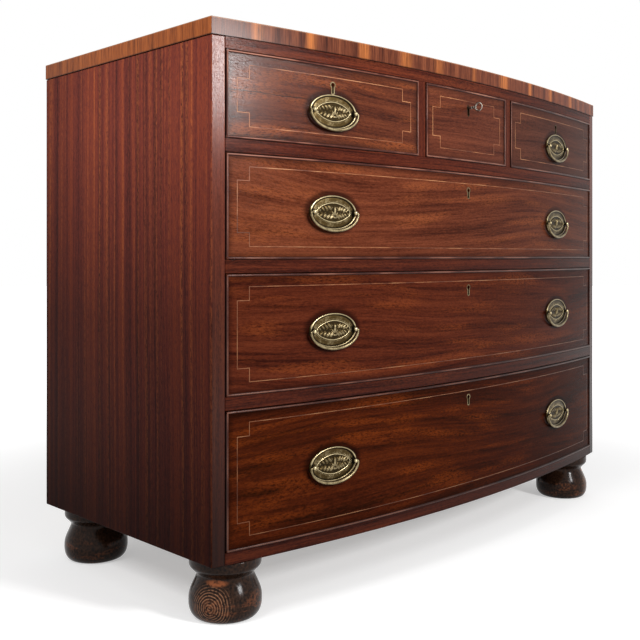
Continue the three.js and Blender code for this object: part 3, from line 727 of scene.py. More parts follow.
oak_tones = shades((120, 84, 50), (176, 134, 84))
bottom_tones = shades((116, 82, 50), (170, 130, 84))
pine_tones = shades((116, 80, 48), (148, 108, 68))
oak_sides = dry_wood("oak_side_lining", ("Y", "Z"), seed=2.2, tones=oak_tones, streak=8 * MM)
oak_bottoms = dry_wood("oak_bottom_lining", ("X", "Y"), seed=5.2, tones=bottom_tones, streak=10 * MM)
pine_back = dry_wood("pine_back_boards", ("X", "Z"), seed=8.4, tones=pine_tones, streak=9 * MM)
brass = old_metal("aged_brass", OLIVE_BRASS, rough_hollow=0.5, rough_rubbed=0.27)
iron = old_metal("worn_iron", GREY_IRON, rough_hollow=0.55, rough_rubbed=0.3)
lock_brass = old_metal("lock_brass", OLIVE_BRASS, rough_hollow=0.5, rough_rubbed=0.32, worn=0.66)
lock_iron = old_metal("lock_iron", GREY_IRON, rough_hollow=0.55, rough_rubbed=0.35, worn=0.6)
print("metals:", [m.name for m in (brass, iron, lock_brass, lock_iron)])

# %% [markdown]
# ## Boards that keep their measured shape
#
# Most boards are right as they come. A real edge is never razor sharp, though: it has been
# sanded, waxed and knocked for two hundred years, and it is that small round that catches
# the light. The measured faces arrive as loose facets, so a Weld joins them, a Bevel rounds
# the edges, and a Weighted Normal keeps flat faces flat and the bow smooth. These are
# modifiers, so the measured mesh underneath is not touched.

# %% Round the edges and give each board its finish
FACET_GAP = 0.02 * MM
SHARP_TURN = math.radians(32)
CASE_SOFT = 0.6 * MM
SIDE_SOFT = 1.2 * MM
PINE_SOFT = 0.8 * MM
LINING_SOFT = 0.3 * MM


def keep_board(node, finish, soft):
    """Keeps a measured piece, with edges rounded this much and its own finish."""
    thing = boards[node]
    for place in thing.material_slots:
        place.material = finish
    weld = thing.modifiers.new("join_facets", "WELD")
    weld.merge_threshold = FACET_GAP
    bevel = thing.modifiers.new("soft_edges", "BEVEL")
    bevel.width = soft
    bevel.segments = 2
    bevel.limit_method = "ANGLE"
    bevel.angle_limit = SHARP_TURN
    thing.modifiers.new("even_shading", "WEIGHTED_NORMAL")


keep_board("top_board", top_wood, CASE_SOFT)
for node in ("top_rail", "divider_upper", "divider_middle", "divider_lower", "bottom_rail"):
    keep_board(node, case_wood, CASE_SOFT)
for hand in ("left", "right"):
    keep_board("side_" + hand, side_wood, SIDE_SOFT)
    keep_board("muntin_" + hand, muntin_wood, CASE_SOFT)
for node in ("bottom_board", "back_board_lower", "back_board_upper"):
    keep_board(node, pine_back, PINE_SOFT)

DRAWERS = ["top_left", "top_middle", "top_right", "upper", "middle", "lower"]
for name in DRAWERS:
    for part, lining in (("side_left", oak_sides), ("side_right", oak_sides), ("back_bottom", oak_bottoms)):
        keep_board(f"drawer_{name}_{part}", lining, LINING_SOFT)
print("boards finished so far:", sum(bool(b.modifiers) for b in boards.values()))

# %% [markdown]
# ## Making a piece of our own
#
# What we add to the boards is made from points and faces. `make_piece` turns a list of them
# into an object, joins points that fall together, turns all faces outwards, and marks an
# edge as sharp where it turns by more than a set angle. `fit_to` then says what it moves
# with and which finish it has, and `rub` stores how worn its points are. Most pieces are
# rings of points, so `turns` gives the angles round a ring and `ring_faces` the faces
# between neighbours.

# %% Tools for pieces
SAME_POINT = 1e-7
CREASE = 38


def crisp(mesh, crease=CREASE):
    """Smooths all faces, except over edges that turn by more than the crease, in degrees."""
    shape = bmesh.new()
    shape.from_mesh(mesh)
    bmesh.ops.remove_doubles(shape, verts=shape.verts, dist=SAME_POINT)
    bmesh.ops.recalc_face_normals(shape, faces=shape.faces)
    for face in shape.faces:
        face.smooth = True
    for edge in shape.edges:
        edge.smooth = edge.calc_face_angle(0) < math.radians(crease)
    shape.to_mesh(mesh)
    shape.free()


def make_piece(name, points, faces, crease=CREASE):
    mesh = bpy.data.meshes.new(name)
    mesh.from_pydata([tuple(p) for p in points], [], faces)
    crisp(mesh, crease)
    thing = bpy.data.objects.new(name, mesh)
    bpy.context.scene.collection.objects.link(thing)
    return thing


def fit_to(thing, body, finish):
    thing.data.materials.append(finish)
    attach(thing, body)


def rub(thing, amount):
    """Stores the worn value: one number for the whole piece, or one for each point."""
    count = len(thing.data.vertices)
    values = amount if isinstance(amount, list) else [amount] * count
    assert len(values) == count, (thing.name, len(values), count)
    worn = thing.data.attributes.new("worn", "FLOAT", "POINT")
    worn.data.foreach_set("value", values)


def turns(count):
    """The angles of points spread evenly round a circle."""
    return [2 * math.pi * k / count for k in range(count)]


def ring_faces(rings, count, closed_rings=False, closed_ends=False):
    """Faces between rings of points that all have the same count."""
    faces = []
    last = rings if closed_rings else rings - 1
    for ring in range(last):
        near, far = ring * count, ((ring + 1) % rings) * count
        for i in range(count):
            j = (i + 1) % count
            faces.append((near + i, near + j, far + j, far + i))
    if closed_ends:
        faces.append(tuple(range(count)))
        faces.append(tuple((rings - 1) * count + i for i in range(count)))
    return faces


print("piece tools ready")

# %% [markdown]
# ## Frames that follow the bow
#
# Two things run round each drawer front: the cockbead, a thin strip with a round nose that
# guards the edge, and further in a hair-thin line of pale boxwood whose corners step in.
# Both are the same idea: an outline on the curved front, with a small profile carried round
# it. So one function makes both. It takes the profile as pairs, how far in from the edge
# and how far out from the face, draws the whole outline once for each pair, and joins
# neighbours with faces. Because every outline is drawn in by the same rule, the corners
# come out mitred, as a maker would cut them.

# %% Outlines on the curve
BOW_STEP = 16 * MM


def outline_corners(low, high, inset, notch):
    """Corners of an outline drawn in from a front's edges, with square steps at its corners."""
    left, right = low.x + inset, high.x - inset
    foot, head = low.z + inset, high.z - inset
    if not notch:
        return [(left, foot), (right, foot), (right, head), (left, head)]
    n = notch
    return [
        (left + n, foot),
        (right - n, foot),
        (right - n, foot + n),
        (right, foot + n),
        (right, head - n),
        (right - n, head - n),
        (right - n, head),
        (left + n, head),
        (left + n, head - n),
        (left, head - n),
        (left, foot + n),
        (left + n, foot + n),
    ]


def outline_on_bow(low, high, inset, out, notch):
    """The outline laid on the curve. Long stretches get points close enough to follow it."""
    corners = outline_corners(low, high, inset, notch)
    full = outline_corners(low, high, 0, notch)
    points = []
    for i, (x, z) in enumerate(corners):
        after = (i + 1) % len(corners)
        next_x, next_z = corners[after]
        steps = max(1, math.ceil(abs(full[after][0] - full[i][0]) / BOW_STEP))
        for k in range(steps):
            at_x = x + (next_x - x) * k / steps
            points.append((at_x, bow_y(at_x, out), z + (next_z - z) * k / steps))
    return points


print("points lie at most", round(BOW_STEP / MM), "mm apart on the curve")

# %% Mouldings and thin sheets on the curve


def frame_on_bow(name, low, high, profile, notch=0.0):
    """A closed moulding round a front. profile holds (inset, out) pairs."""
    rings = [outline_on_bow(low, high, inset, out, notch) for inset, out in profile]
    points = [p for ring in rings for p in ring]
    return make_piece(name, points, ring_faces(len(rings), len(rings[0]), closed_rings=True))


def veneer_on_bow(name, low, high, inset, out, thickness):
    """A thin sheet laid on the bow, thick enough to sink into the board under it."""
    left, right = low.x + inset, high.x - inset
    foot, head = low.z + inset, high.z - inset
    steps = math.ceil((right - left) / BOW_STEP)
    points = []
    for k in range(steps + 1):
        x = left + (right - left) * k / steps
        face, back = bow_y(x, out), bow_y(x, out - thickness)
        points += [(x, face, foot), (x, face, head), (x, back, head), (x, back, foot)]
    return make_piece(name, points, ring_faces(steps + 1, 4, closed_ends=True))


fronts = {name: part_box(f"drawer_{name}_front") for name in DRAWERS}
for name, (low, high) in fronts.items():
    print(name, "front:", round((high.x - low.x) / MM, 1), "x", round((high.z - low.z) / MM, 1), "mm")

# %% [markdown]
# ## Drawer fronts
#
# Each front was veneered on its own, and no two sheets match, so each gets its own seed and
# its own mix of dark, red and gold. The upper drawers are given lighter colours and the
# lower ones deep red and brown, partly as each veneer's own colour and partly as painted
# shade towards the floor. The finish has to know where the brass sits to leave old polish
# and painted shadow round it, so the places of the handles are read first.

# %% A finish for each front
FRONT_BANDS = (0.5, 16 * MM, 0.24, 26 * MM)

outer_x = (fronts["top_right"][0].x + fronts["top_right"][1].x) / 2
HANDLES = []
handle_z = {}
for row in ("top", "upper", "middle", "lower"):
    for side, hand in (("left", -1), ("right", 1)):
        name = f"{row}_{side}"
        drawer = name if row == "top" else row
        low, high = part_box("plate_" + name)
        HANDLES.append((name, drawer, hand))
        handle_z.setdefault(drawer, (low.z + high.z) / 2)
print("handles' heights:", {n: round(z, 4) for n, z in handle_z.items()})

# The tones darken from the top drawers to the lowest: partly each veneer's colour, partly painted shade.
FRONT_LOOKS = {
    "top_left": (11.3, 0.5, 0.085, shades((46, 17, 10), (88, 40, 23), (108, 54, 31), (168, 88, 44))),
    "top_middle": (23.9, 0.4, 0.05, shades((62, 26, 17), (98, 48, 31), (118, 62, 41), (148, 80, 46))),
    "top_right": (37.1, 0.25, 0.03, shades((58, 28, 20), (88, 47, 35), (104, 59, 44), (126, 72, 48))),
    "upper": (51.7, 0.45, 0.03, shades((60, 24, 14), (98, 47, 29), (122, 64, 40), (160, 86, 46))),
    "middle": (68.3, 0.45, 0.018, shades((46, 15, 8), (80, 33, 19), (99, 45, 26), (144, 70, 32))),
    "lower": (83.9, 0.45, 0.01, shades((34, 11, 3), (64, 23, 8), (84, 34, 12), (138, 62, 20))),
}
CRACKS = {"top_left": (0.792, -outer_x - 40 * MM)}
fronts_wood = {}
for name, (seed, flame, gloss, tones) in FRONT_LOOKS.items():
    marks = {"edges": fronts[name], "crack": CRACKS.get(name)}
    if name in handle_z:
        marks["brass_at"] = (outer_x, handle_z[name])
    fronts_wood[name] = polished_wood(
        f"mahogany_front_{name}", ("X", "Z"), seed, tones, FRONT_BANDS, flame, gloss, front=marks
    )
print("finishes of the fronts:", len(fronts_wood))

# %% [markdown]
# ## Veneers, cockbeads and string lines
#
# The cockbead is plain dark wood, pale along its nose, partly where it is rubbed and partly
# as a painted highlight, so it carries a `worn` value that is highest there. The string
# line is pale boxwood, set into the veneer and only just proud of it. The two sides of the
# case have the same thin sheet on their front edges.

# %% Finishes of the trim
TRIM_FOOT_SHADE = 0.4
BEAD_DRIFT = (0.1, 0.7)
BEAD_STOPS = (0.0, 0.55, 1.0)
BEAD_TONES = shades((22, 9, 6), (84, 39, 27), (172, 116, 94))
STRING_STOPS = (0.36, 0.5, 0.64)
STRING_TONES = shades((104, 56, 32), (160, 96, 58), (196, 134, 88))


def trim_wood(name, roughness, gloss, scale, right_shade_share, colouring):
    """Wood too small to show its grain. colouring turns a slow noise into its colour."""
    material, tree, shader = new_finish(name, roughness, gloss)
    place = place_in_metres(tree)
    wood = colouring(tree, noise(tree, place, scale, 4.0))
    # Painted shade towards the floor, the right and the back.
    wood = paint_falloff_shade(tree, split(tree, place), wood, TRIM_FOOT_SHADE, right_shade_share)
    tree.links.new(wood, shader.inputs["Base Color"])
    return material


def bead_colour_and_highlight(tree, drift):
    """Dark wood, pale where its points are worn: partly rubbed wear, partly a painted highlight on the
    nose.
    """
    share = product(tree, worn_value(tree), soft_step(tree, drift, *BEAD_DRIFT))
    return ramp(tree, share, *zip(BEAD_STOPS, BEAD_TONES))


def string_colour(tree, drift):
    """Pale boxwood that old polish has darkened in places."""
    return ramp(tree, drift, *zip(STRING_STOPS, STRING_TONES))


bead_wood = trim_wood(
    "cockbead_polish", roughness=0.3, gloss=0.16, scale=12.0, right_shade_share=0.45, colouring=bead_colour_and_highlight
)
boxwood = trim_wood(
    "boxwood_line", roughness=0.4, gloss=0.2, scale=26.0, right_shade_share=0.4, colouring=string_colour
)
print("trim:", bead_wood.name, boxwood.name)

# %% Lay the veneers, beads and lines
BEAD_WIDTH = 4.1 * MM
BEAD_PROUD = 2.45 * MM
BEAD_DEPTH = 8 * MM
SKIN = 0.1 * MM
VENEER = 0.6 * MM
STRING_INSET = 18.5 * MM
STRING_NOTCH = 20.5 * MM
STRING_WIDTH = 1.1 * MM
STRING_PROUD = 0.06 * MM
STRING_SUNK = 0.3 * MM
NOSE_STEPS = 8

nose_turns = [math.pi * k / NOSE_STEPS for k in range(NOSE_STEPS + 1)]
bead_middle = BEAD_WIDTH / 2 - SKIN
bead_profile = [(bead_middle - math.cos(t) * BEAD_WIDTH / 2, math.sin(t) * BEAD_PROUD) for t in nose_turns]
bead_profile += [(BEAD_WIDTH - SKIN, -BEAD_DEPTH), (-SKIN, -BEAD_DEPTH)]
# The pale nose is partly rubbed wear and partly a painted highlight.
bead_worn_and_highlight = [math.sin(t) ** 2 for t in nose_turns] + [0.0, 0.0]
string_out = SKIN + STRING_PROUD
string_end = STRING_INSET + STRING_WIDTH
string_profile = [(STRING_INSET, string_out), (string_end, string_out)]
string_profile += [(string_end, -STRING_SUNK), (STRING_INSET, -STRING_SUNK)]
veneers = {}
for name, (low, high) in fronts.items():
    body = "drawer_" + name
    keep_board(f"drawer_{name}_front", fronts_wood[name], LINING_SOFT)
    veneers[name] = veneer_on_bow(f"veneer_{name}", low, high, BEAD_WIDTH - 2 * SKIN, SKIN, VENEER)
    fit_to(veneers[name], body, fronts_wood[name])
    bead = frame_on_bow(f"cockbead_{name}", low, high, bead_profile)
    each_ring = len(bead.data.vertices) // len(bead_worn_and_highlight)
    rub(bead, [value for value in bead_worn_and_highlight for _ in range(each_ring)])
    fit_to(bead, body, bead_wood)
    string = frame_on_bow(f"boxwood_line_{name}", low, high, string_profile, STRING_NOTCH)
    fit_to(string, body, boxwood)
print("veneers:", len(veneers), "points in one:", len(veneers["upper"].data.vertices))

# %% Veneer the front edges of the sides
STILE_SKIN = 0.15 * MM
STILE_VENEER = 0.8 * MM

for hand in ("left", "right"):
    low, high = (corner.copy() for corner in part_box("side_" + hand))
    low += Vector((SIDE_SOFT, 0, SIDE_SOFT))
    high -= Vector((SIDE_SOFT, 0, SIDE_SOFT))
    stile = veneer_on_bow(f"stile_veneer_{hand}", low, high, 0.0, STILE_SKIN, STILE_VENEER)
    fit_to(stile, "carcase", stile_wood)
print("stile veneers stand", round((high.z - low.z) / MM, 1), "mm high")

# %% [markdown]
# ## Keyholes
#
# Every drawer locks. The keyhole is lined with a brass thread: a thin strip bent to the
# keyhole's shape and driven into the wood until it is flush. The outline is a round head
# over a narrow slot with a round end. If two such outlines share their centres, and one has
# both radii larger by the wall's thickness, the wall is even all the way round. A third
# outline between them cuts the hole through the veneer, and a Boolean makes that cut.

# %% The outline of a keyhole
KEY_DROP = 32 * MM
DRAWER_TOP_GAP = 1 * MM
THREAD_HEAD = 5.5 * MM
THREAD_FOOT = 3.4 * MM
THREAD_WALL = 1.7 * MM
THREAD_PROUD = 0.3 * MM
THREAD_SOFT = 0.2 * MM
THREAD_SUNK = 1 * MM
SLOT_DROP = 12.4 * MM


def keyhole_outline(head, foot, head_steps=18, foot_steps=8):
    """Points (across, up) of a round head over a slot with a round end."""
    meet = -math.acos(min(1.0, foot / head))
    points = []
    for k in range(head_steps + 1):
        turn = meet + (math.pi - 2 * meet) * k / head_steps
        points.append((head * math.cos(turn), head * math.sin(turn)))
    for k in range(foot_steps + 1):
        turn = math.pi + math.pi * k / foot_steps
        points.append((foot * math.cos(turn), foot * math.sin(turn) - SLOT_DROP))
    return points


print("a keyhole is", round((THREAD_HEAD + SLOT_DROP + THREAD_FOOT) / MM, 1), "mm high")

# %% Cut the keyholes and drive in the threads
CUT_REACH = 3 * MM
THREAD_WORN = 0.55


def keyhole_form(name, at_x, at_z, rings, **closed):
    """A piece made of keyhole outlines laid on the bow, one for each (shrink, out) in rings."""
    points = []
    for shrink, out in rings:
        outline = keyhole_outline(THREAD_HEAD - shrink, THREAD_FOOT - shrink)
        points += [(at_x + u, bow_y(at_x + u, out), at_z + w) for u, w in outline]
    return make_piece(name, points, ring_faces(len(rings), len(outline), **closed))


def brass_thread(name, at_x, at_z):
    rings = [(0.0, -THREAD_SUNK), (0.0, THREAD_PROUD - THREAD_SOFT), (THREAD_SOFT, THREAD_PROUD)]
    rings += [(THREAD_WALL - THREAD_SOFT, THREAD_PROUD), (THREAD_WALL, THREAD_PROUD - THREAD_SOFT)]
    rings += [(THREAD_WALL, -THREAD_SUNK)]
    return keyhole_form(name, at_x, at_z, rings, closed_rings=True)


def cut_keyhole(sheet, at_x, at_z):
    """Cuts the hole through a veneer, halfway under the thread's wall."""
    rings = [(THREAD_WALL / 2, -CUT_REACH), (THREAD_WALL / 2, CUT_REACH)]
    cutter = keyhole_form("keyhole_cutter", at_x, at_z, rings, closed_ends=True)
    cut = sheet.modifiers.new("keyhole", "BOOLEAN")
    cut.operation = "DIFFERENCE"
    cut.solver = "EXACT"
    cut.object = cutter
    depsgraph = bpy.context.evaluated_depsgraph_get()
    after = bpy.data.meshes.new_from_object(sheet.evaluated_get(depsgraph))
    sheet.modifiers.clear()
    sheet.data = after
    crisp(sheet.data)
    sheet.modifiers.new("even_shading", "WEIGHTED_NORMAL").keep_sharp = True
    bpy.data.objects.remove(cutter)


KEYHOLE_X = {"top_left": -outer_x, "top_right": outer_x}
# Darker threads: painted shadow of the key on the top middle drawer, and a darker thread on the top right
# drawer.
THREAD_WORN_AND_SHADE = {"top_middle": 0.25, "top_right": 0.35}
keyholes = {}
for name, (low, high) in fronts.items():
    at_x = KEYHOLE_X.get(name, 0.0)
    at_z = high.z + DRAWER_TOP_GAP - KEY_DROP
    keyholes[name] = (at_x, at_z)
    cut_keyhole(veneers[name], at_x, at_z)
    thread = brass_thread(f"brass_thread_{name}", at_x, at_z)
    rub(thread, THREAD_WORN_AND_SHADE.get(name, THREAD_WORN))
    fit_to(thread, "drawer_" + name, brass)
print("keyholes at", {n: (round(x, 3), round(z, 3)) for n, (x, z) in keyholes.items()})

# %% [markdown]
# ## Stamped brass plates
#
# A plate like this was struck from thin sheet between two dies: a rolled rim, a dished
# border, and a raised picture in a pointed oval, here a plain scroll of leaves. Its shape
# is really a height over an oval, so we build it as one: rings of points from the middle to
# the rim, each lifted by a profile that depends on how far out the ring is. Inside the
# pointed oval the leaves are added to that height, each a small ridge with a groove along
# its vein. Points that lie high are marked as worn, and the ground between the leaves as
# black, because that is where the polish stays. The relief is so small that it is written
# in millimetres and turned into metres where the points are made.

# %% The plate's height
PLATE_LENGTH = 96 * MM
PLATE_HEIGHT = 55 * MM
EYE_HALF = (34.0, 15.4)
EYE_POWER = 1.7

PLATE_PROFILE = [
    (0.0, 1.2),
    (0.6, 1.2),
    (0.8, 1.0),
    (0.865, 0.75),
    (0.89, 0.8),
    (0.905, 1.5),
    (0.925, 2.15),
    (0.95, 2.4),
    (0.975, 2.1),
    (0.99, 1.4),
    (1.0, 0.5),
]
WORN_PROFILE = [
    (0.0, 0.44),
    (0.84, 0.42),
    (0.875, 0.05),
    (0.9, 0.1),
    (0.925, 0.5),
    (0.95, 0.9),
    (0.98, 0.6),
    (1.0, 0.3),
]


def along_profile(profile, at):
    """The value at a place on a profile, with soft turns at its points."""
    for (a, low), (b, high) in zip(profile, profile[1:]):
        if at <= b:
            share = (at - a) / (b - a)
            share = share * share * (3 - 2 * share)
            return low + (high - low) * share
    return profile[-1][1]


def eye_place(across, up):
    """Less than 1 inside the pointed oval, 1 on its line, and more outside."""
    return (abs(across) / EYE_HALF[0]) ** EYE_POWER + (abs(up) / EYE_HALF[1]) ** EYE_POWER


def on_eye(turn, half):
    """A point of a pointed oval with these half lengths."""
    power = 2 / EYE_POWER
    across = math.copysign(abs(math.cos(turn)) ** power, math.cos(turn)) * half[0]
    return across, math.copysign(abs(math.sin(turn)) ** power, math.sin(turn)) * half[1]


print("pointed oval:", 2 * EYE_HALF[0], "x", 2 * EYE_HALF[1], "mm")

# %% The leaves
STEM_MIDDLE = 3.0
SCROLL_LEAVES = 9
SCROLL_START = 5.5
SCROLL_END = 4.0
SCROLL_TURN = 1.15
STEM_SWAY = 0.26
STEM_TURN = 0.3
STEM_SIZE = (2.4, 0.8, 1.1)
LEAF_OUT = 0.45
LEAF_TURN = 0.75
LEAF_LENGTH = (0.34, 1.2)
LEAF_WIDTH = (0.14, 0.5)
LEAF_RISE = 1.4
BERRY_OUT = 0.5
BERRY_WIDTH = (0.08, 0.5)
BERRY_RISE = 1.1
VEIN_DEPTH = 0.35
VEIN_WIDTH = 0.2
BUD = [
    (0.0, 2.2, math.radians(86), 8.0, 2.5, 2.0),
    (0.0, -8.0, 0.0, 5.6, 1.8, 1.5),
    (-4.2, -1.2, 2.2, 5.2, 1.5, 1.5),
    (4.0, -1.8, 0.9, 4.6, 1.4, 1.4),
]


def scroll_leaves():
    """Each leaf as middle across, middle up, direction, half length, half width and height: a
    bud in the middle, and to both sides a wavy stem with a leaf and a berry at each bend."""
    leaves = [(STEM_MIDDLE + across, *rest) for across, *rest in BUD]
    for hand in (-1, 1):
        reach = EYE_HALF[0] - SCROLL_START - SCROLL_END - hand * STEM_MIDDLE
        for k in range(SCROLL_LEAVES):
            across = STEM_MIDDLE + hand * (SCROLL_START + reach / (SCROLL_LEAVES - 1) * k)
            room = 1 - (abs(across) / EYE_HALF[0]) ** EYE_POWER
            room = EYE_HALF[1] * max(0.0, room) ** (1 / EYE_POWER)
            way = SCROLL_TURN * k + hand
            side = 1 if k % 2 else -1
            sway, turn = STEM_SWAY * room * math.sin(way), STEM_TURN * hand * math.cos(way)
            sizes = [share * room + least for share, least in (LEAF_LENGTH, LEAF_WIDTH, BERRY_WIDTH)]
            length, width, berry = sizes
            leaves.append((across, sway, turn, *STEM_SIZE))
            leaf_turn = hand * side * LEAF_TURN
            leaves.append((across + hand, LEAF_OUT * side * room, leaf_turn, length, width, LEAF_RISE))
            leaves.append((across, -BERRY_OUT * side * room, 0.0, berry, berry, BERRY_RISE))
    return leaves


SCROLL = scroll_leaves()


def leaf_height(across, up):
    """How far the leaves stand up at a point of the oval, in millimetres."""
    height = 0.0
    for mid_x, mid_z, turn, length, width, rise in SCROLL:
        dx, dz = across - mid_x, up - mid_z
        run = dx * math.cos(turn) + dz * math.sin(turn)
        off = -dx * math.sin(turn) + dz * math.cos(turn)
        body = 1 - (run / length) ** 2 - (off / width) ** 2
        if body > 0:
            vein = 1 - VEIN_DEPTH * math.exp(-((off / (VEIN_WIDTH * width)) ** 2))
            height = max(height, rise * math.sqrt(body) * vein)
    return height


print("leaves in the scroll:", len(SCROLL))

# %% Strike the plate
PLATE_SIDES = 144
FIRST_SHARE = 0.015
FIELD_END = 0.8
FIELD_RINGS = 39
BORDER_SHARES = [0.83, 0.85, 0.865, 0.878, 0.888, 0.895, 0.902, 0.91, 0.92, 0.932, 0.945, 0.957]
BORDER_SHARES += [0.968, 0.978, 0.987, 0.994, 1.0]
POST_SPAN = 42 * MM
POST_SHADE = 7 * MM
POST_SHADOW_DARK = 0.42
EYE_GROUND = 0.7
EYE_BORDER = 0.8
GROUND_WORN = 0.17
LEAF_WORN = 0.43
TALL_LEAF = 1.3
RIM_WORN = 0.3

field_shares = [
    FIRST_SHARE + (FIELD_END - FIRST_SHARE) * k / (FIELD_RINGS - 1) for k in range(FIELD_RINGS)
]
plate_shares = field_shares + BORDER_SHARES


def struck(x, z, lift, worn):
    """The plate's height in millimetres and its worn value, once the leaves are stamped in, with painted
    shadow round the posts.
    """
    # Painted shadow: the worn value drops round the foot of each post, which darkens the brass there.
    recess = math.hypot(abs(x) - POST_SPAN, z) / POST_SHADE
    worn -= POST_SHADOW_DARK * max(0.0, 1 - recess**3)
    eye = eye_place(x / MM, z / MM)
    if eye < 1:
        leaf = leaf_height(x / MM, z / MM)
        rise = max(0.0, (eye - EYE_BORDER) / (1 - EYE_BORDER))
        lift = EYE_GROUND + (lift - EYE_GROUND) * rise + leaf
        worn = GROUND_WORN + LEAF_WORN * min(1.0, leaf / TALL_LEAF)
    return lift, max(0.0, worn)


def plate_surface():
    """Rings of the plate with their worn values, from the middle to the rim and the back edge."""
    points, worn = [], []
    for share in plate_shares:
        ring_lift = along_profile(PLATE_PROFILE, share)
        ring_worn = along_profile(WORN_PROFILE, share)
        for turn in turns(PLATE_SIDES):
            x = share * PLATE_LENGTH / 2 * math.cos(turn)
            z = share * PLATE_HEIGHT / 2 * math.sin(turn)
            lift, value = struck(x, z, ring_lift, ring_worn)
            points.append((x, -lift * MM, z))
            worn.append(value)
    for turn in turns(PLATE_SIDES):
        points.append((PLATE_LENGTH / 2 * math.cos(turn), 0.0, PLATE_HEIGHT / 2 * math.sin(turn)))
        worn.append(RIM_WORN)
    return points, worn, ring_faces(len(plate_shares) + 1, PLATE_SIDES, closed_ends=True)


print("rings in a plate:", len(plate_shares) + 1)

# %% Its raised line and pearls
CORD_STEPS = 112
CORD_SIDES = 8
CORD_RADIUS = 0.8
CORD_MIDDLE = 1.2
CORD_WORN = (0.5, 0.45)
PEARLS = 76
PEARL_SIDES = 8
PEARL_HALF = (36.6, 18.0)
PEARL_RADIUS = 0.62 * MM
PEARL_BASE = 1.05 * MM
PEARL_TURNS = (-0.4, 0.1, 0.6, 1.1)
PEARL_WORN = (0.25, 0.25, 0.75, 0.75)


def turned_rings(profile, sides, centre):
    """Points of a small turned part that stands out from a plate, from (radius, out) pairs."""
    points = []
    for radius, out in profile:
        for turn in turns(sides):
            points.append((centre[0] + radius * math.cos(turn), -out, centre[1] + radius * math.sin(turn)))
    return points


def cord_ring():
    """The raised line of the pointed oval: a round section swept along it."""
    points, worn = [], []
    for i in range(CORD_STEPS):
        before, (x, z), after = (
            on_eye(2 * math.pi * (i + off) / CORD_STEPS, EYE_HALF) for off in (-0.5, 0, 0.5)
        )
        along = Vector((after[0] - before[0], after[1] - before[1])).normalized()
        for turn in turns(CORD_SIDES):
            off = CORD_RADIUS * math.cos(turn)
            out = CORD_MIDDLE + CORD_RADIUS * math.sin(turn)
            points.append(((x - along.y * off) * MM, -out * MM, (z + along.x * off) * MM))
            worn.append(CORD_WORN[0] + CORD_WORN[1] * math.sin(turn))
    return points, worn, ring_faces(CORD_STEPS, CORD_SIDES, closed_rings=True)


def pearl(turn):
    """A pearl of the ring round the oval: a small dome, sunk a little into the plate."""
    at_x, at_z = (c * MM for c in on_eye(turn, PEARL_HALF))
    rings = [(math.cos(t) * PEARL_RADIUS, PEARL_BASE + math.sin(t) * PEARL_RADIUS) for t in PEARL_TURNS]
    points = turned_rings(rings, PEARL_SIDES, (at_x, at_z))
    top = len(points)
    last = top - PEARL_SIDES
    points.append((at_x, -(PEARL_BASE + PEARL_RADIUS), at_z))
    faces = ring_faces(len(rings), PEARL_SIDES)
    faces += [(last + i, last + (i + 1) % PEARL_SIDES, top) for i in range(PEARL_SIDES)]
    faces.append(tuple(range(PEARL_SIDES)))
    worn = [value for value in PEARL_WORN for _ in range(PEARL_SIDES)] + [PEARL_WORN[-1]]
    return points, worn, faces


print("pearls round the oval:", PEARLS)

# %% Its posts, and the whole plate
POST_SIDES = 24
POST_PROFILE = [
    (0.2, 0.3, 0.0),
    (4.1, 0.6, 0.0),
    (4.0, 1.5, 0.05),
    (3.2, 2.1, 0.0),
    (2.5, 2.7, 0.0),
    (2.6, 3.2, 0.0),
    (3.2, 3.9, 0.05),
    (3.6, 4.8, 0.2),
    (3.7, 5.6, 0.3),
    (3.7, 6.5, 0.35),
    (3.5, 7.6, 0.5),
    (2.8, 8.7, 0.75),
    (1.6, 9.4, 0.9),
    (0.2, 9.7, 0.9),
]


def post(hand):
    """A post that holds one end of the bail. Its profile gives radius, out and worn value."""
    rings = [(radius * MM, out * MM) for radius, out, _ in POST_PROFILE]
    points = turned_rings(rings, POST_SIDES, (hand * POST_SPAN, 0.0))
    worn = [value for *_, value in POST_PROFILE for _ in range(POST_SIDES)]
    return points, worn, ring_faces(len(rings), POST_SIDES, closed_ends=True)


def join_forms(forms):
    """Puts several (points, worn, faces) forms into one."""
    points, worn, faces = [], [], []
    for new_points, new_worn, new_faces in forms:
        faces += [tuple(len(points) + i for i in face) for face in new_faces]
        points += new_points
        worn += new_worn
    return points, worn, faces


pearl_turns = [2 * math.pi * (k + 0.5) / PEARLS for k in range(PEARLS)]
plate_forms = [plate_surface(), cord_ring(), post(-1), post(1)] + [pearl(turn) for turn in pearl_turns]
plate_points, plate_worn, plate_faces = join_forms(plate_forms)
print("points in a plate:", len(plate_points))

# %% [markdown]
# ## Bails
#
# The bail is the loop you pull. It is cast: thin where it turns into the posts, swelling to
# a thick middle for the fingers. A round section is swept along half an oval, with a short
# peg at each end that turns inwards to the posts. The radius grows with the sine of the way
# round, raised to a power so that the ends stay slim.

# %% Cast the bail
BAIL_REACH = 47.7 * MM
BAIL_DROP = 29 * MM
BAIL_END = 1.7 * MM
BAIL_MIDDLE = 2.4 * MM
BAIL_POWER = 1.5
PEG_RADIUS = 1.1 * MM
PEG_TIP = 45.75 * MM
PEG_STEPS = 6
BAIL_STEPS = 56
BAIL_SIDES = 16


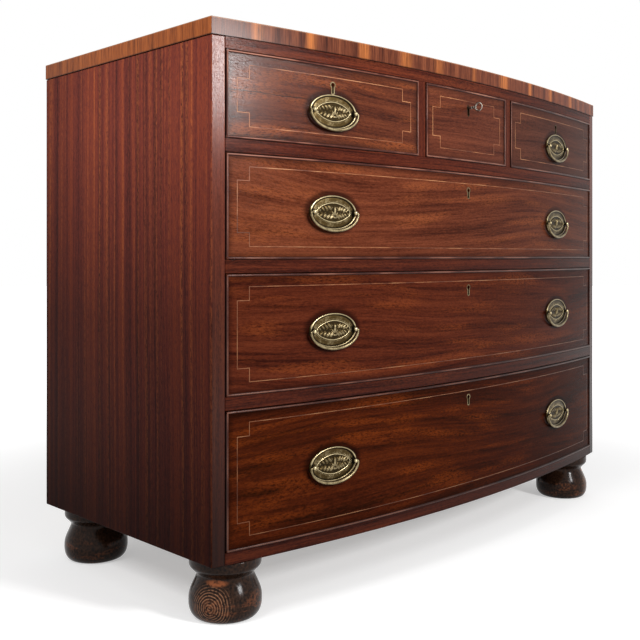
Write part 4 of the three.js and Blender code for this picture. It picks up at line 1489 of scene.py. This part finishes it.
def bail_path():
    """(across, up, radius) from one peg's tip to the other's."""
    path = [(-PEG_TIP, 0.0, PEG_RADIUS)]
    for k in range(1, PEG_STEPS):
        turn = math.pi / 2 * k / PEG_STEPS
        radius = PEG_RADIUS + (BAIL_END - PEG_RADIUS) * k / PEG_STEPS
        corner = BAIL_REACH - BAIL_END * (1 - math.sin(turn))
        path.append((-corner, -BAIL_END * (1 - math.cos(turn)), radius))
    for k in range(BAIL_STEPS + 1):
        turn = math.pi * k / BAIL_STEPS
        radius = BAIL_END + (BAIL_MIDDLE - BAIL_END) * math.sin(turn) ** BAIL_POWER
        drop = BAIL_END + (BAIL_DROP - BAIL_END) * math.sin(turn)
        path.append((-BAIL_REACH * math.cos(turn), -drop, radius))
    return path + [(-x, z, r) for x, z, r in reversed(path[:PEG_STEPS])]


def cast_bail():
    path = bail_path()
    points = []
    for i, (x, z, radius) in enumerate(path):
        before = path[max(i - 1, 0)]
        after = path[min(i + 1, len(path) - 1)]
        along = Vector((after[0] - before[0], after[1] - before[1])).normalized()
        for turn in turns(BAIL_SIDES):
            off = radius * math.cos(turn)
            points.append((x - along.y * off, -radius * math.sin(turn), z + along.x * off))
    return points, ring_faces(len(path), BAIL_SIDES, closed_ends=True)


bail_points, bail_faces = cast_bail()
print("points in a bail:", len(bail_points))

# %% [markdown]
# ## Hang the handles
#
# The eight plates are alike, as they were all struck with the same dies. Each is set on the
# bow at its measured place and turned to face straight out of the curve. The bail hangs in
# front of it on its own pivot, so it rides on its own body and swings when the model does.

# %% Fit plates and bails
PLATE_SEAT = 0.3 * MM
POST_REACH = 6 * MM
PLATE_CREASE = 60
BAIL_WORN = 0.62


def handle_seat(drawer, hand):
    """Where a handle sits, and how it is turned, as one matrix."""
    return seat_on_bow(hand * outer_x, handle_z[drawer]) @ Matrix.Translation((0, -PLATE_SEAT, 0))


for name, drawer, hand in HANDLES:
    seat = handle_seat(drawer, hand)
    plate = make_piece("plate_stamped_" + name, plate_points, plate_faces, PLATE_CREASE)
    rub(plate, plate_worn)
    plate.matrix_world = seat
    fit_to(plate, "drawer_" + drawer, brass)
    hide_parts("plate_" + name)
    bail = make_piece("bail_cast_" + name, bail_points, bail_faces)
    rub(bail, BAIL_WORN)
    bail.matrix_world = seat @ Matrix.Translation((0, -POST_REACH, 0))
    fit_to(bail, "bail_" + name, brass)
    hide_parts("bail_" + name)
print("handles hung:", len(HANDLES))

# %% [markdown]
# ## Bun feet
#
# Each foot was turned on a lathe: a deep collar, a hollow neck and a flattened ball. The
# profile is a short list of pairs: a radius as a share of the ball's, and how far down from
# the top it lies as a share of the foot's height. A spline carries a smooth line through
# them, as the turner's gouge would.

# %% Turn the feet
FOOT_SIDES = 72
SPIGOT = 11 * MM
FOOT_RADIUS = 56 * MM
FOOT_CREASE = 50
HUB_SHARE = 0.1
SPLINE_STEPS = 3
FOOT_SHARES = [
    (0.94, 0.0),
    (0.985, 0.012),
    (0.99, 0.05),
    (0.99, 0.13),
    (0.975, 0.165),
    (0.94, 0.195),
    (0.885, 0.228),
    (0.83, 0.262),
    (0.795, 0.292),
    (0.787, 0.32),
    (0.797, 0.35),
    (0.83, 0.4),
    (0.88, 0.465),
    (0.935, 0.54),
    (0.98, 0.62),
    (1.0, 0.7),
    (1.0, 0.78),
    (0.985, 0.85),
    (0.955, 0.91),
    (0.91, 0.955),
    (0.86, 0.985),
    (0.8, 1.0),
]
foot_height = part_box("foot_front_left")[1].z - SPIGOT


def spline(points, steps):
    """A smooth line through a list of pairs."""
    path = []
    last = len(points) - 1
    for i in range(last):
        a, b, c, d = (points[min(max(j, 0), last)] for j in (i - 1, i, i + 1, i + 2))
        for k in range(steps):
            t = k / steps
            pair = []
            for n in (0, 1):
                bend = 2 * a[n] - 5 * b[n] + 4 * c[n] - d[n]
                twist = 3 * b[n] - a[n] - 3 * c[n] + d[n]
                pair.append(b[n] + 0.5 * ((c[n] - a[n]) * t + bend * t * t + twist * t**3))
            path.append(tuple(pair))
    return path + [points[-1]]


def turn_foot(name, at_x, at_y):
    profile = [(HUB_SHARE, 0.0)] + spline(FOOT_SHARES, SPLINE_STEPS) + [(HUB_SHARE, 1.0)]
    points = []
    for radius, drop in profile:
        level = min(max(foot_height * (1 - drop), 0.0), foot_height)
        reach = min(radius, 1.0) * FOOT_RADIUS
        for turn in turns(FOOT_SIDES):
            points.append((at_x + reach * math.cos(turn), at_y + reach * math.sin(turn), level))
    return make_piece(name, points, ring_faces(len(profile), FOOT_SIDES, closed_ends=True), FOOT_CREASE)


print("feet stand", round(foot_height / MM, 1), "mm high")

# %% [markdown]
# ## Black stain, worn through
#
# The feet were stained black. The wood's rings are cylinders round its pith, and where the
# pith points out of the ball they show as circles. There the stain has worn off the hard
# rings. It has also gone from the pith itself, from the shoulder that shoes knock, and in
# streaks near the floor. So the finish is given the way that the pith faces, and works out
# how far each point lies from that line.

# %% The feet's finish
RING_STEP = 3.6 * MM
RING_WOBBLE = 4 * MM
RINGS_REACH = (42 * MM, 20 * MM)
PITH_REACH = (16 * MM, 8 * MM)
STREAK_REACH = (14 * MM, 0.0)
KNOCK_REACH = (22 * MM, 10 * MM)
STREAK_SQUEEZE = (1.0, 1.0, 5.0)
KNOCK_SQUEEZE = (1.0, 1.0, 3.5)
KNOCK_TURN = 0.1
KNOCK_REACH_OUT = 0.86
KNOCK_HEIGHT = 0.3
WOBBLE_NOISE = (40.0, 2.0)
FIBRE_NOISE = (260.0, 3.0)
STREAK_NOISE = (24.0, 2.0)
RING_RISE = (0.2, 1.0)
BARE_FIBRE = (0.3, 0.55)
BARE_SHARE = 0.9
STREAK_RISE = (0.5, 0.62)
STREAK_SHARE = 0.6
STREAK_FIBRE = (0.3, 0.75)
KNOCK_FIBRE = (0.2, 0.6)
STAIN_STOPS = (0.35, 0.7)
STAIN_TONES = shades((20, 11, 7), (54, 34, 23))
STREAK_TONE, BARE_TONE, KNOCK_TONE = shades((116, 66, 40), (152, 106, 78), (140, 80, 48))
STAIN_BUMP = (0.2, 0.4 * MM)
RING_BUMP = 0.3
BALL_MIDDLE = 32 * MM


def pith_distance(tree, local, facing):
    """Metres from the line through the ball's middle along which the pith runs."""
    full = vector_sums(tree, "LENGTH", local)
    depth = vector_sums(tree, "DOT_PRODUCT", local, facing)
    squares = sums(tree, "SUBTRACT", sums(tree, "POWER", full, 2.0), sums(tree, "POWER", depth, 2.0))
    return sums(tree, "SQRT", squares)


def knocked_shoulder(tree, local, facing, fibre):
    """A rubbed patch, wider than it is high, on the shoulder beside the pith."""
    shoulder = Vector((facing[0] + KNOCK_TURN, facing[1] - KNOCK_TURN, 0)).normalized()
    shoulder = shoulder * KNOCK_REACH_OUT * FOOT_RADIUS
    shoulder.z = KNOCK_HEIGHT * foot_height
    off = vector_sums(tree, "SUBTRACT", local, tuple(shoulder))
    off = vector_sums(tree, "LENGTH", vector_sums(tree, "MULTIPLY", off, KNOCK_SQUEEZE))
    return product(tree, soft_step(tree, off, *KNOCK_REACH), soft_step(tree, fibre, *KNOCK_FIBRE))


def ebonised(name, centre, facing):
    """Black stain worn through on the rings of the wood. facing is the way its pith points."""
    material, tree, shader = new_finish(name, POLISH, gloss=0.11)
    place = place_in_metres(tree)
    local = vector_sums(tree, "SUBTRACT", place, centre)
    away = vector_sums(tree, "DISTANCE", local, tuple(Vector(facing) * FOOT_RADIUS))
    wobble = noise(tree, place, *WOBBLE_NOISE)
    fibre = noise(tree, place, *FIBRE_NOISE)
    patch = noise(tree, vector_sums(tree, "MULTIPLY", place, STREAK_SQUEEZE), *STREAK_NOISE)
    layer = sums(tree, "MULTIPLY_ADD", wobble, RING_WOBBLE, pith_distance(tree, local, facing))
    wave = sums(tree, "SINE", product(tree, layer, 2 * math.pi / RING_STEP))
    ring = product(tree, soft_step(tree, wave, *RING_RISE), soft_step(tree, away, *RINGS_REACH))
    bare = product(tree, ring, product(tree, soft_step(tree, fibre, *BARE_FIBRE), BARE_SHARE))
    low_part = soft_step(tree, split(tree, local)["Z"], *STREAK_REACH)
    streak = product(tree, soft_step(tree, patch, *STREAK_RISE), low_part, STREAK_SHARE)
    streak = sums(tree, "MAXIMUM", streak, soft_step(tree, away, *PITH_REACH))
    streak = product(tree, streak, soft_step(tree, fibre, *STREAK_FIBRE))
    wood = ramp(tree, fibre, *zip(STAIN_STOPS, STAIN_TONES))
    wood = blend(tree, streak, wood, STREAK_TONE)
    wood = blend(tree, bare, wood, BARE_TONE)
    wood = blend(tree, knocked_shoulder(tree, local, facing, fibre), wood, KNOCK_TONE)
    tree.links.new(wood, shader.inputs["Base Color"])
    uneven = sums(tree, "MULTIPLY_ADD", fibre, *POLISH_UNEVEN)
    tree.links.new(uneven, shader.inputs["Roughness"])
    raise_grain(tree, shader, sums(tree, "MULTIPLY_ADD", wave, RING_BUMP, fibre), *STAIN_BUMP)
    return material


print("rings are", round(RING_STEP / MM, 1), "mm apart")

# %% Fit and stain the feet
# The way each pith points: to the right, to the back and up
PITH_FACES = {
    "foot_front_left": (-0.87, -0.42, -0.12),
    "foot_front_right": (0.55, -0.83, -0.1),
    "foot_back_left": (-0.25, 0.95, -0.1),
    "foot_back_right": (0.9, 0.3, -0.1),
}
for node, facing in PITH_FACES.items():
    low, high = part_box(node)
    at_x, at_y = (low.x + high.x) / 2, (low.y + high.y) / 2
    foot = turn_foot("bun_" + node, at_x, at_y)
    facing = tuple(Vector(facing).normalized())
    stain = ebonised("ebonised_" + node, (at_x, at_y, BALL_MIDDLE), facing)
    fit_to(foot, "carcase", stain)
    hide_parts(node)
print("feet turned and stained:", len(PITH_FACES))

# %% [markdown]
# ## The key and its lock
#
# One key was left in the middle drawer. It is filed iron: a ring to hold, a collar, a
# straight shank and a bit. The shank is turned, and the ring is a round section swept round
# a circle. The lock behind the drawer is seen only when the drawer is open, so it keeps its
# measured shape.

# %% The parts of the key
KEY_STEM = 13.5 * MM
KEY_RING = 9 * MM
KEY_WIRE = 1.5 * MM
KEY_RING_STEPS = 40
KEY_RING_SIDES = 12
KEY_SWELL = 0.25
KEY_FLAT = 0.8
KEY_SINK = 0.1 * MM
SHANK_WORN, RING_WORN, BIT_WORN = 0.6, 0.75, 0.5
SHANK_RADIUS = 2.0 * MM
SHANK_SIDES = 16
SHANK_TIP = 0.6
SHANK_ENDS = (0.6 * MM, 0.1 * MM)
SHANK_PROFILE = [
    (0.1, -0.8),
    (1.1, -0.4),
    (1.35, 0.8),
    (1.35, 1.8),
    (1.0, 2.6),
    (1.0, 5.0),
    (1.3, 5.6),
    (1.3, 6.6),
    (1.0, 7.2),
]
BIT_HALF = 1.1 * MM
BIT_ENDS = (4 * MM, 0.3 * MM)

key_x, key_z = keyholes["top_middle"]
key_low, key_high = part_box("key")
stem_y = bow_y(0.0) - KEY_STEM


def key_shank():
    """The turned shank. Its profile gives a share of the radius and millimetres from the stem."""
    rings = [(share * SHANK_RADIUS, -(stem_y + off * MM)) for share, off in SHANK_PROFILE]
    for radius, end in zip((SHANK_RADIUS, SHANK_RADIUS * SHANK_TIP), SHANK_ENDS):
        rings.append((radius, end - key_high.y))
    points = turned_rings(rings, SHANK_SIDES, (key_x, key_z))
    return points, [SHANK_WORN] * len(points), ring_faces(len(rings), SHANK_SIDES, closed_ends=True)


def key_ring():
    centre_y = stem_y - KEY_RING + KEY_SINK
    points = []
    for way in turns(KEY_RING_STEPS):
        wire = KEY_WIRE * (1 + KEY_SWELL * math.cos(way))
        for turn in turns(KEY_RING_SIDES):
            reach = KEY_RING - KEY_WIRE * (1 + KEY_SWELL) + wire * math.cos(turn)
            across = key_x + KEY_FLAT * wire * math.sin(turn)
            points.append((across, centre_y + reach * math.cos(way), key_z + reach * math.sin(way)))
    faces = ring_faces(KEY_RING_STEPS, KEY_RING_SIDES, closed_rings=True)
    return points, [RING_WORN] * len(points), faces


def key_bit():
    left, right = key_x - BIT_HALF, key_x + BIT_HALF
    foot = key_low.z + KEY_SINK
    points = []
    for y in (key_high.y - BIT_ENDS[0], key_high.y - BIT_ENDS[1]):
        points += [(left, y, key_z), (right, y, key_z), (right, y, foot), (left, y, foot)]
    return points, [BIT_WORN] * len(points), ring_faces(2, 4, closed_ends=True)


print("key's ring is", round(2 * KEY_RING / MM), "mm across")

# %% Put the key in its lock
key_points, key_worn, key_faces = join_forms([key_shank(), key_ring(), key_bit()])
iron_key = make_piece("iron_key", key_points, key_faces)
rub(iron_key, key_worn)
fit_to(iron_key, "key", iron)
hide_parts("key")
keep_board("lock_case", lock_brass, LINING_SOFT)
keep_board("lock_bolt", lock_iron, LINING_SOFT)
print("key reaches y =", round(min(v.co.y for v in iron_key.data.vertices), 4), "of", round(key_low.y, 4))

# %% [markdown]
# ## What is seen with a drawer open
#
# Nobody sees them in a photograph, but the fittings behind the fronts are what makes the
# chest work: each handle is held by two nuts, each lock has a plate on the inside with a
# strip let into the drawer's top edge, and small blocks on the rails stop the drawers just
# as their fronts come level. Most are blocks with softened edges, so one small tool makes
# them, and the screws and bolt ends are turned like the posts. A matrix then sets each
# group on the curve at its place.

# %% Tools for fittings


def soft_block(low, high, soft):
    """A block with its edges cut off, as points and faces."""
    shape = bmesh.new()
    bmesh.ops.create_cube(shape, size=1.0)
    for point in shape.verts:
        point.co = [(a + b) / 2 + c * (b - a) for a, b, c in zip(low, high, point.co)]
    bmesh.ops.bevel(shape, geom=shape.edges[:], offset=soft, segments=2, affect="EDGES", profile=0.5)
    shape.verts.index_update()
    points = [tuple(point.co) for point in shape.verts]
    faces = [tuple(point.index for point in face.verts) for face in shape.faces]
    shape.free()
    return points, faces


def small_turned(profile, back_y, centre, sides=12):
    """A small turned form on the inside of a front, from (radius, in from back_y) pairs."""
    points = turned_rings([(radius, -back_y - into) for radius, into in profile], sides, centre)
    return points, ring_faces(len(profile), sides, closed_ends=True)


def built_of(name, forms, body, finish, amount=None):
    """One piece made of several (points, faces) forms."""
    points, worn, faces = join_forms([(p, [amount or 0.0] * len(p), f) for p, f in forms])
    thing = make_piece(name, points, faces)
    if amount is not None:
        rub(thing, worn)
    fit_to(thing, body, finish)
    return thing


print("points in a soft block:", len(soft_block((0, 0, 0), (1, 1, 1), 0.1)[0]))

# %% Nuts
NUT_HALF = 4.5 * MM
NUT_SUNK = 1 * MM
NUT_THICK = 3.4 * MM
NUT_SOFT = 0.6 * MM
NUT_WORN = 0.6
BOLT_RADIUS = 2.1 * MM
BOLT_TIP = 0.7
BOLT_PROFILE = [(BOLT_RADIUS, -NUT_SUNK), (BOLT_RADIUS, 6.4 * MM), (BOLT_RADIUS * BOLT_TIP, 7 * MM)]

inside = FRONT_THICK + PLATE_SEAT
nut_forms = []
for at_x in (-POST_SPAN, POST_SPAN):
    low = (at_x - NUT_HALF, inside - NUT_SUNK, -NUT_HALF)
    high = (at_x + NUT_HALF, inside + NUT_THICK, NUT_HALF)
    nut_forms.append(soft_block(low, high, NUT_SOFT))
    nut_forms.append(small_turned(BOLT_PROFILE, inside, (at_x, 0.0)))
for name, drawer, hand in HANDLES:
    nuts = built_of("handle_nuts_" + name, nut_forms, "drawer_" + drawer, brass, NUT_WORN)
    nuts.matrix_world = handle_seat(drawer, hand)
print("pairs of nuts:", len(HANDLES))

# %% Lock plates
LOCK_HALF = 30 * MM
LOCK_DROP = 17 * MM
LOCK_THICK = 1.6 * MM
LOCK_SUNK = 0.5 * MM
LOCK_SOFT = 0.5 * MM
LOCK_WORN = 0.62
STRIP_REACH = 10 * MM
STRIP_THICK = 2 * MM
STRIP_PROUD = 0.12 * MM
STRIP_SOFT = 0.1 * MM
SCREW_ACROSS = 0.8
SCREW_DROPS = (11 * MM, 9 * MM)
SCREW_PROFILE = [(2.6 * MM, -0.4 * MM), (2.6 * MM, 0.3 * MM), (1.56 * MM, 0.8 * MM), (0.1 * MM, 0.9 * MM)]


def lock_forms(head):
    """The plate, its strip on the drawer's edge and four screws. head is the edge's height."""
    back = FRONT_THICK + LOCK_THICK
    plate_low = (-LOCK_HALF, FRONT_THICK - LOCK_SUNK, -LOCK_DROP)
    strip_low = (-LOCK_HALF, FRONT_THICK - STRIP_REACH, head - STRIP_THICK)
    forms = [soft_block(plate_low, (LOCK_HALF, back, head - LOCK_SUNK), LOCK_SOFT)]
    forms.append(soft_block(strip_low, (LOCK_HALF, back, head + STRIP_PROUD), STRIP_SOFT))
    for across in (-SCREW_ACROSS, SCREW_ACROSS):
        for up in (-SCREW_DROPS[0], head - SCREW_DROPS[1]):
            forms.append(small_turned(SCREW_PROFILE, back, (across * LOCK_HALF, up)))
    return forms


for name, (at_x, at_z) in keyholes.items():
    if name != "top_middle":
        forms = lock_forms(fronts[name][1].z - at_z)
        lock = built_of("lock_plate_" + name, forms, "drawer_" + name, brass, LOCK_WORN)
        lock.matrix_world = seat_on_bow(at_x, at_z)
print("lock plates:", len(keyholes) - 1)

# %% Drawer stops
STOP_HALF = 20 * MM
STOP_DEPTH = 26 * MM
STOP_RISE = 5 * MM
STOP_SUNK = 0.3 * MM
STOP_SOFT = 0.8 * MM
STOP_GAP = 0.6 * MM
RAIL_GAP = 0.5 * MM
STOP_X = {"top_left": (-0.47, -0.2), "top_middle": (-0.07, 0.07), "top_right": (0.2, 0.47)}
LONG_STOP_X = (-0.38, 0.38)

start = FRONT_THICK + STOP_GAP
stop_low = (-STOP_HALF, start, -STOP_SUNK)
stop_high = (STOP_HALF, start + STOP_DEPTH, STOP_RISE)
stop_points, stop_faces = soft_block(stop_low, stop_high, STOP_SOFT)
for name, (low, high) in fronts.items():
    forms = []
    for at_x in STOP_X.get(name, LONG_STOP_X):
        seat = seat_on_bow(at_x, low.z - RAIL_GAP)
        forms.append(([tuple(seat @ Vector(point)) for point in stop_points], stop_faces))
    built_of("drawer_stops_" + name, forms, "carcase", oak_bottoms)
print("drawers with stops:", len(fronts))

# %% [markdown]
# ## Floor and light
#
# The chest stands on a pale floor in soft studio light. A white sky would light it from
# every side and wash the polish grey, so the sky is white only where the camera or a
# reflection looks at it, and dimmer where it lights the wood. `Light Path` tells these
# apart. A lamp high in front gives the handles their shadows, a window-like lamp throws a
# pale sheen on the upper left of the fronts, and a third fills the side.

# %% Floor and sky
FLOOR_REACH = 14.0
WHITE = (1, 1, 1, 1)
FLOOR_GREYS = ((0.4, 0.4, 0.4, 1), (0.7, 0.7, 0.7, 1))
SKY_GREY = (0.42, 0.42, 0.42, 1)
GLOW_REACH = (0.7, 2.2)
GLOW_FAR, GLOW_NEAR = 0.6, 0.4


def seen_directly(tree):
    """1 for rays from the camera, from a reflection or through glass; 0 for light on the wood."""
    path = add_node(tree, "LightPath").outputs
    seen = sums(tree, "ADD", path["Is Camera Ray"], path["Is Glossy Ray"])
    return sums(tree, "ADD", seen, path["Is Transmission Ray"], clamp=True)


floor_mesh = bpy.data.meshes.new("pale_floor")
corners = [(-1, -1), (1, -1), (1, 1), (-1, 1)]
floor_mesh.from_pydata([(a * FLOOR_REACH, b * FLOOR_REACH, 0.0) for a, b in corners], [], [(0, 1, 2, 3)])
floor = bpy.data.objects.new("pale_floor", floor_mesh)
bpy.context.scene.collection.objects.link(floor)
floor_paint, tree, shader = new_finish("pale_floor_paint", roughness=0.9, gloss=0.1)
seen = seen_directly(tree)
tree.links.new(blend(tree, seen, *FLOOR_GREYS), shader.inputs["Base Color"])
shader.inputs["Emission Color"].default_value = WHITE
far = vector_sums(tree, "LENGTH", place_in_metres(tree))
glow = sums(tree, "MULTIPLY_ADD", soft_step(tree, far, *GLOW_REACH), GLOW_FAR, GLOW_NEAR)
tree.links.new(product(tree, seen, glow), shader.inputs["Emission Strength"])
floor_mesh.materials.append(floor_paint)

world = bpy.data.worlds.new("studio")
bpy.context.scene.world = world
world.use_nodes = True
tree = world.node_tree
sky = blend(tree, seen_directly(tree), SKY_GREY, WHITE)
tree.links.new(sky, tree.nodes["Background"].inputs["Color"])
tree.nodes["Background"].inputs["Strength"].default_value = 1.0
print("floor reaches", FLOOR_REACH, "m each way")

# %% Lamps
LAMPS = {
    "key_lamp": ((0.2, -2.3, 2.5), (-0.2, -0.2, 0.6), (0.8, 0.8), 16),
    "window_lamp": ((0.2, -2.52, 1.36), (-0.54, -0.2, 0.8), (0.32, 0.42), 52),
    "side_lamp": ((-2.6, -0.1, 2.6), (-0.5, 0, 0.7), (1.2, 1.2), 48),
}


def soft_lamp(name, place, target, size, power):
    """A rectangle of light at a place, turned to a target. Its size is in metres, its power in watts."""
    lamp_data = bpy.data.lights.new(name, "AREA")
    lamp_data.shape = "RECTANGLE"
    lamp_data.size, lamp_data.size_y = size
    lamp_data.energy = power
    lamp = bpy.data.objects.new(name, lamp_data)
    lamp.location = place
    aim = Vector(target) - Vector(place)
    lamp.rotation_euler = aim.to_track_quat("-Z", "Y").to_euler()
    bpy.context.scene.collection.objects.link(lamp)


for name, settings in LAMPS.items():
    soft_lamp(name, *settings)
bpy.context.scene.view_settings.view_transform = "Standard"
print("lamps:", list(LAMPS))
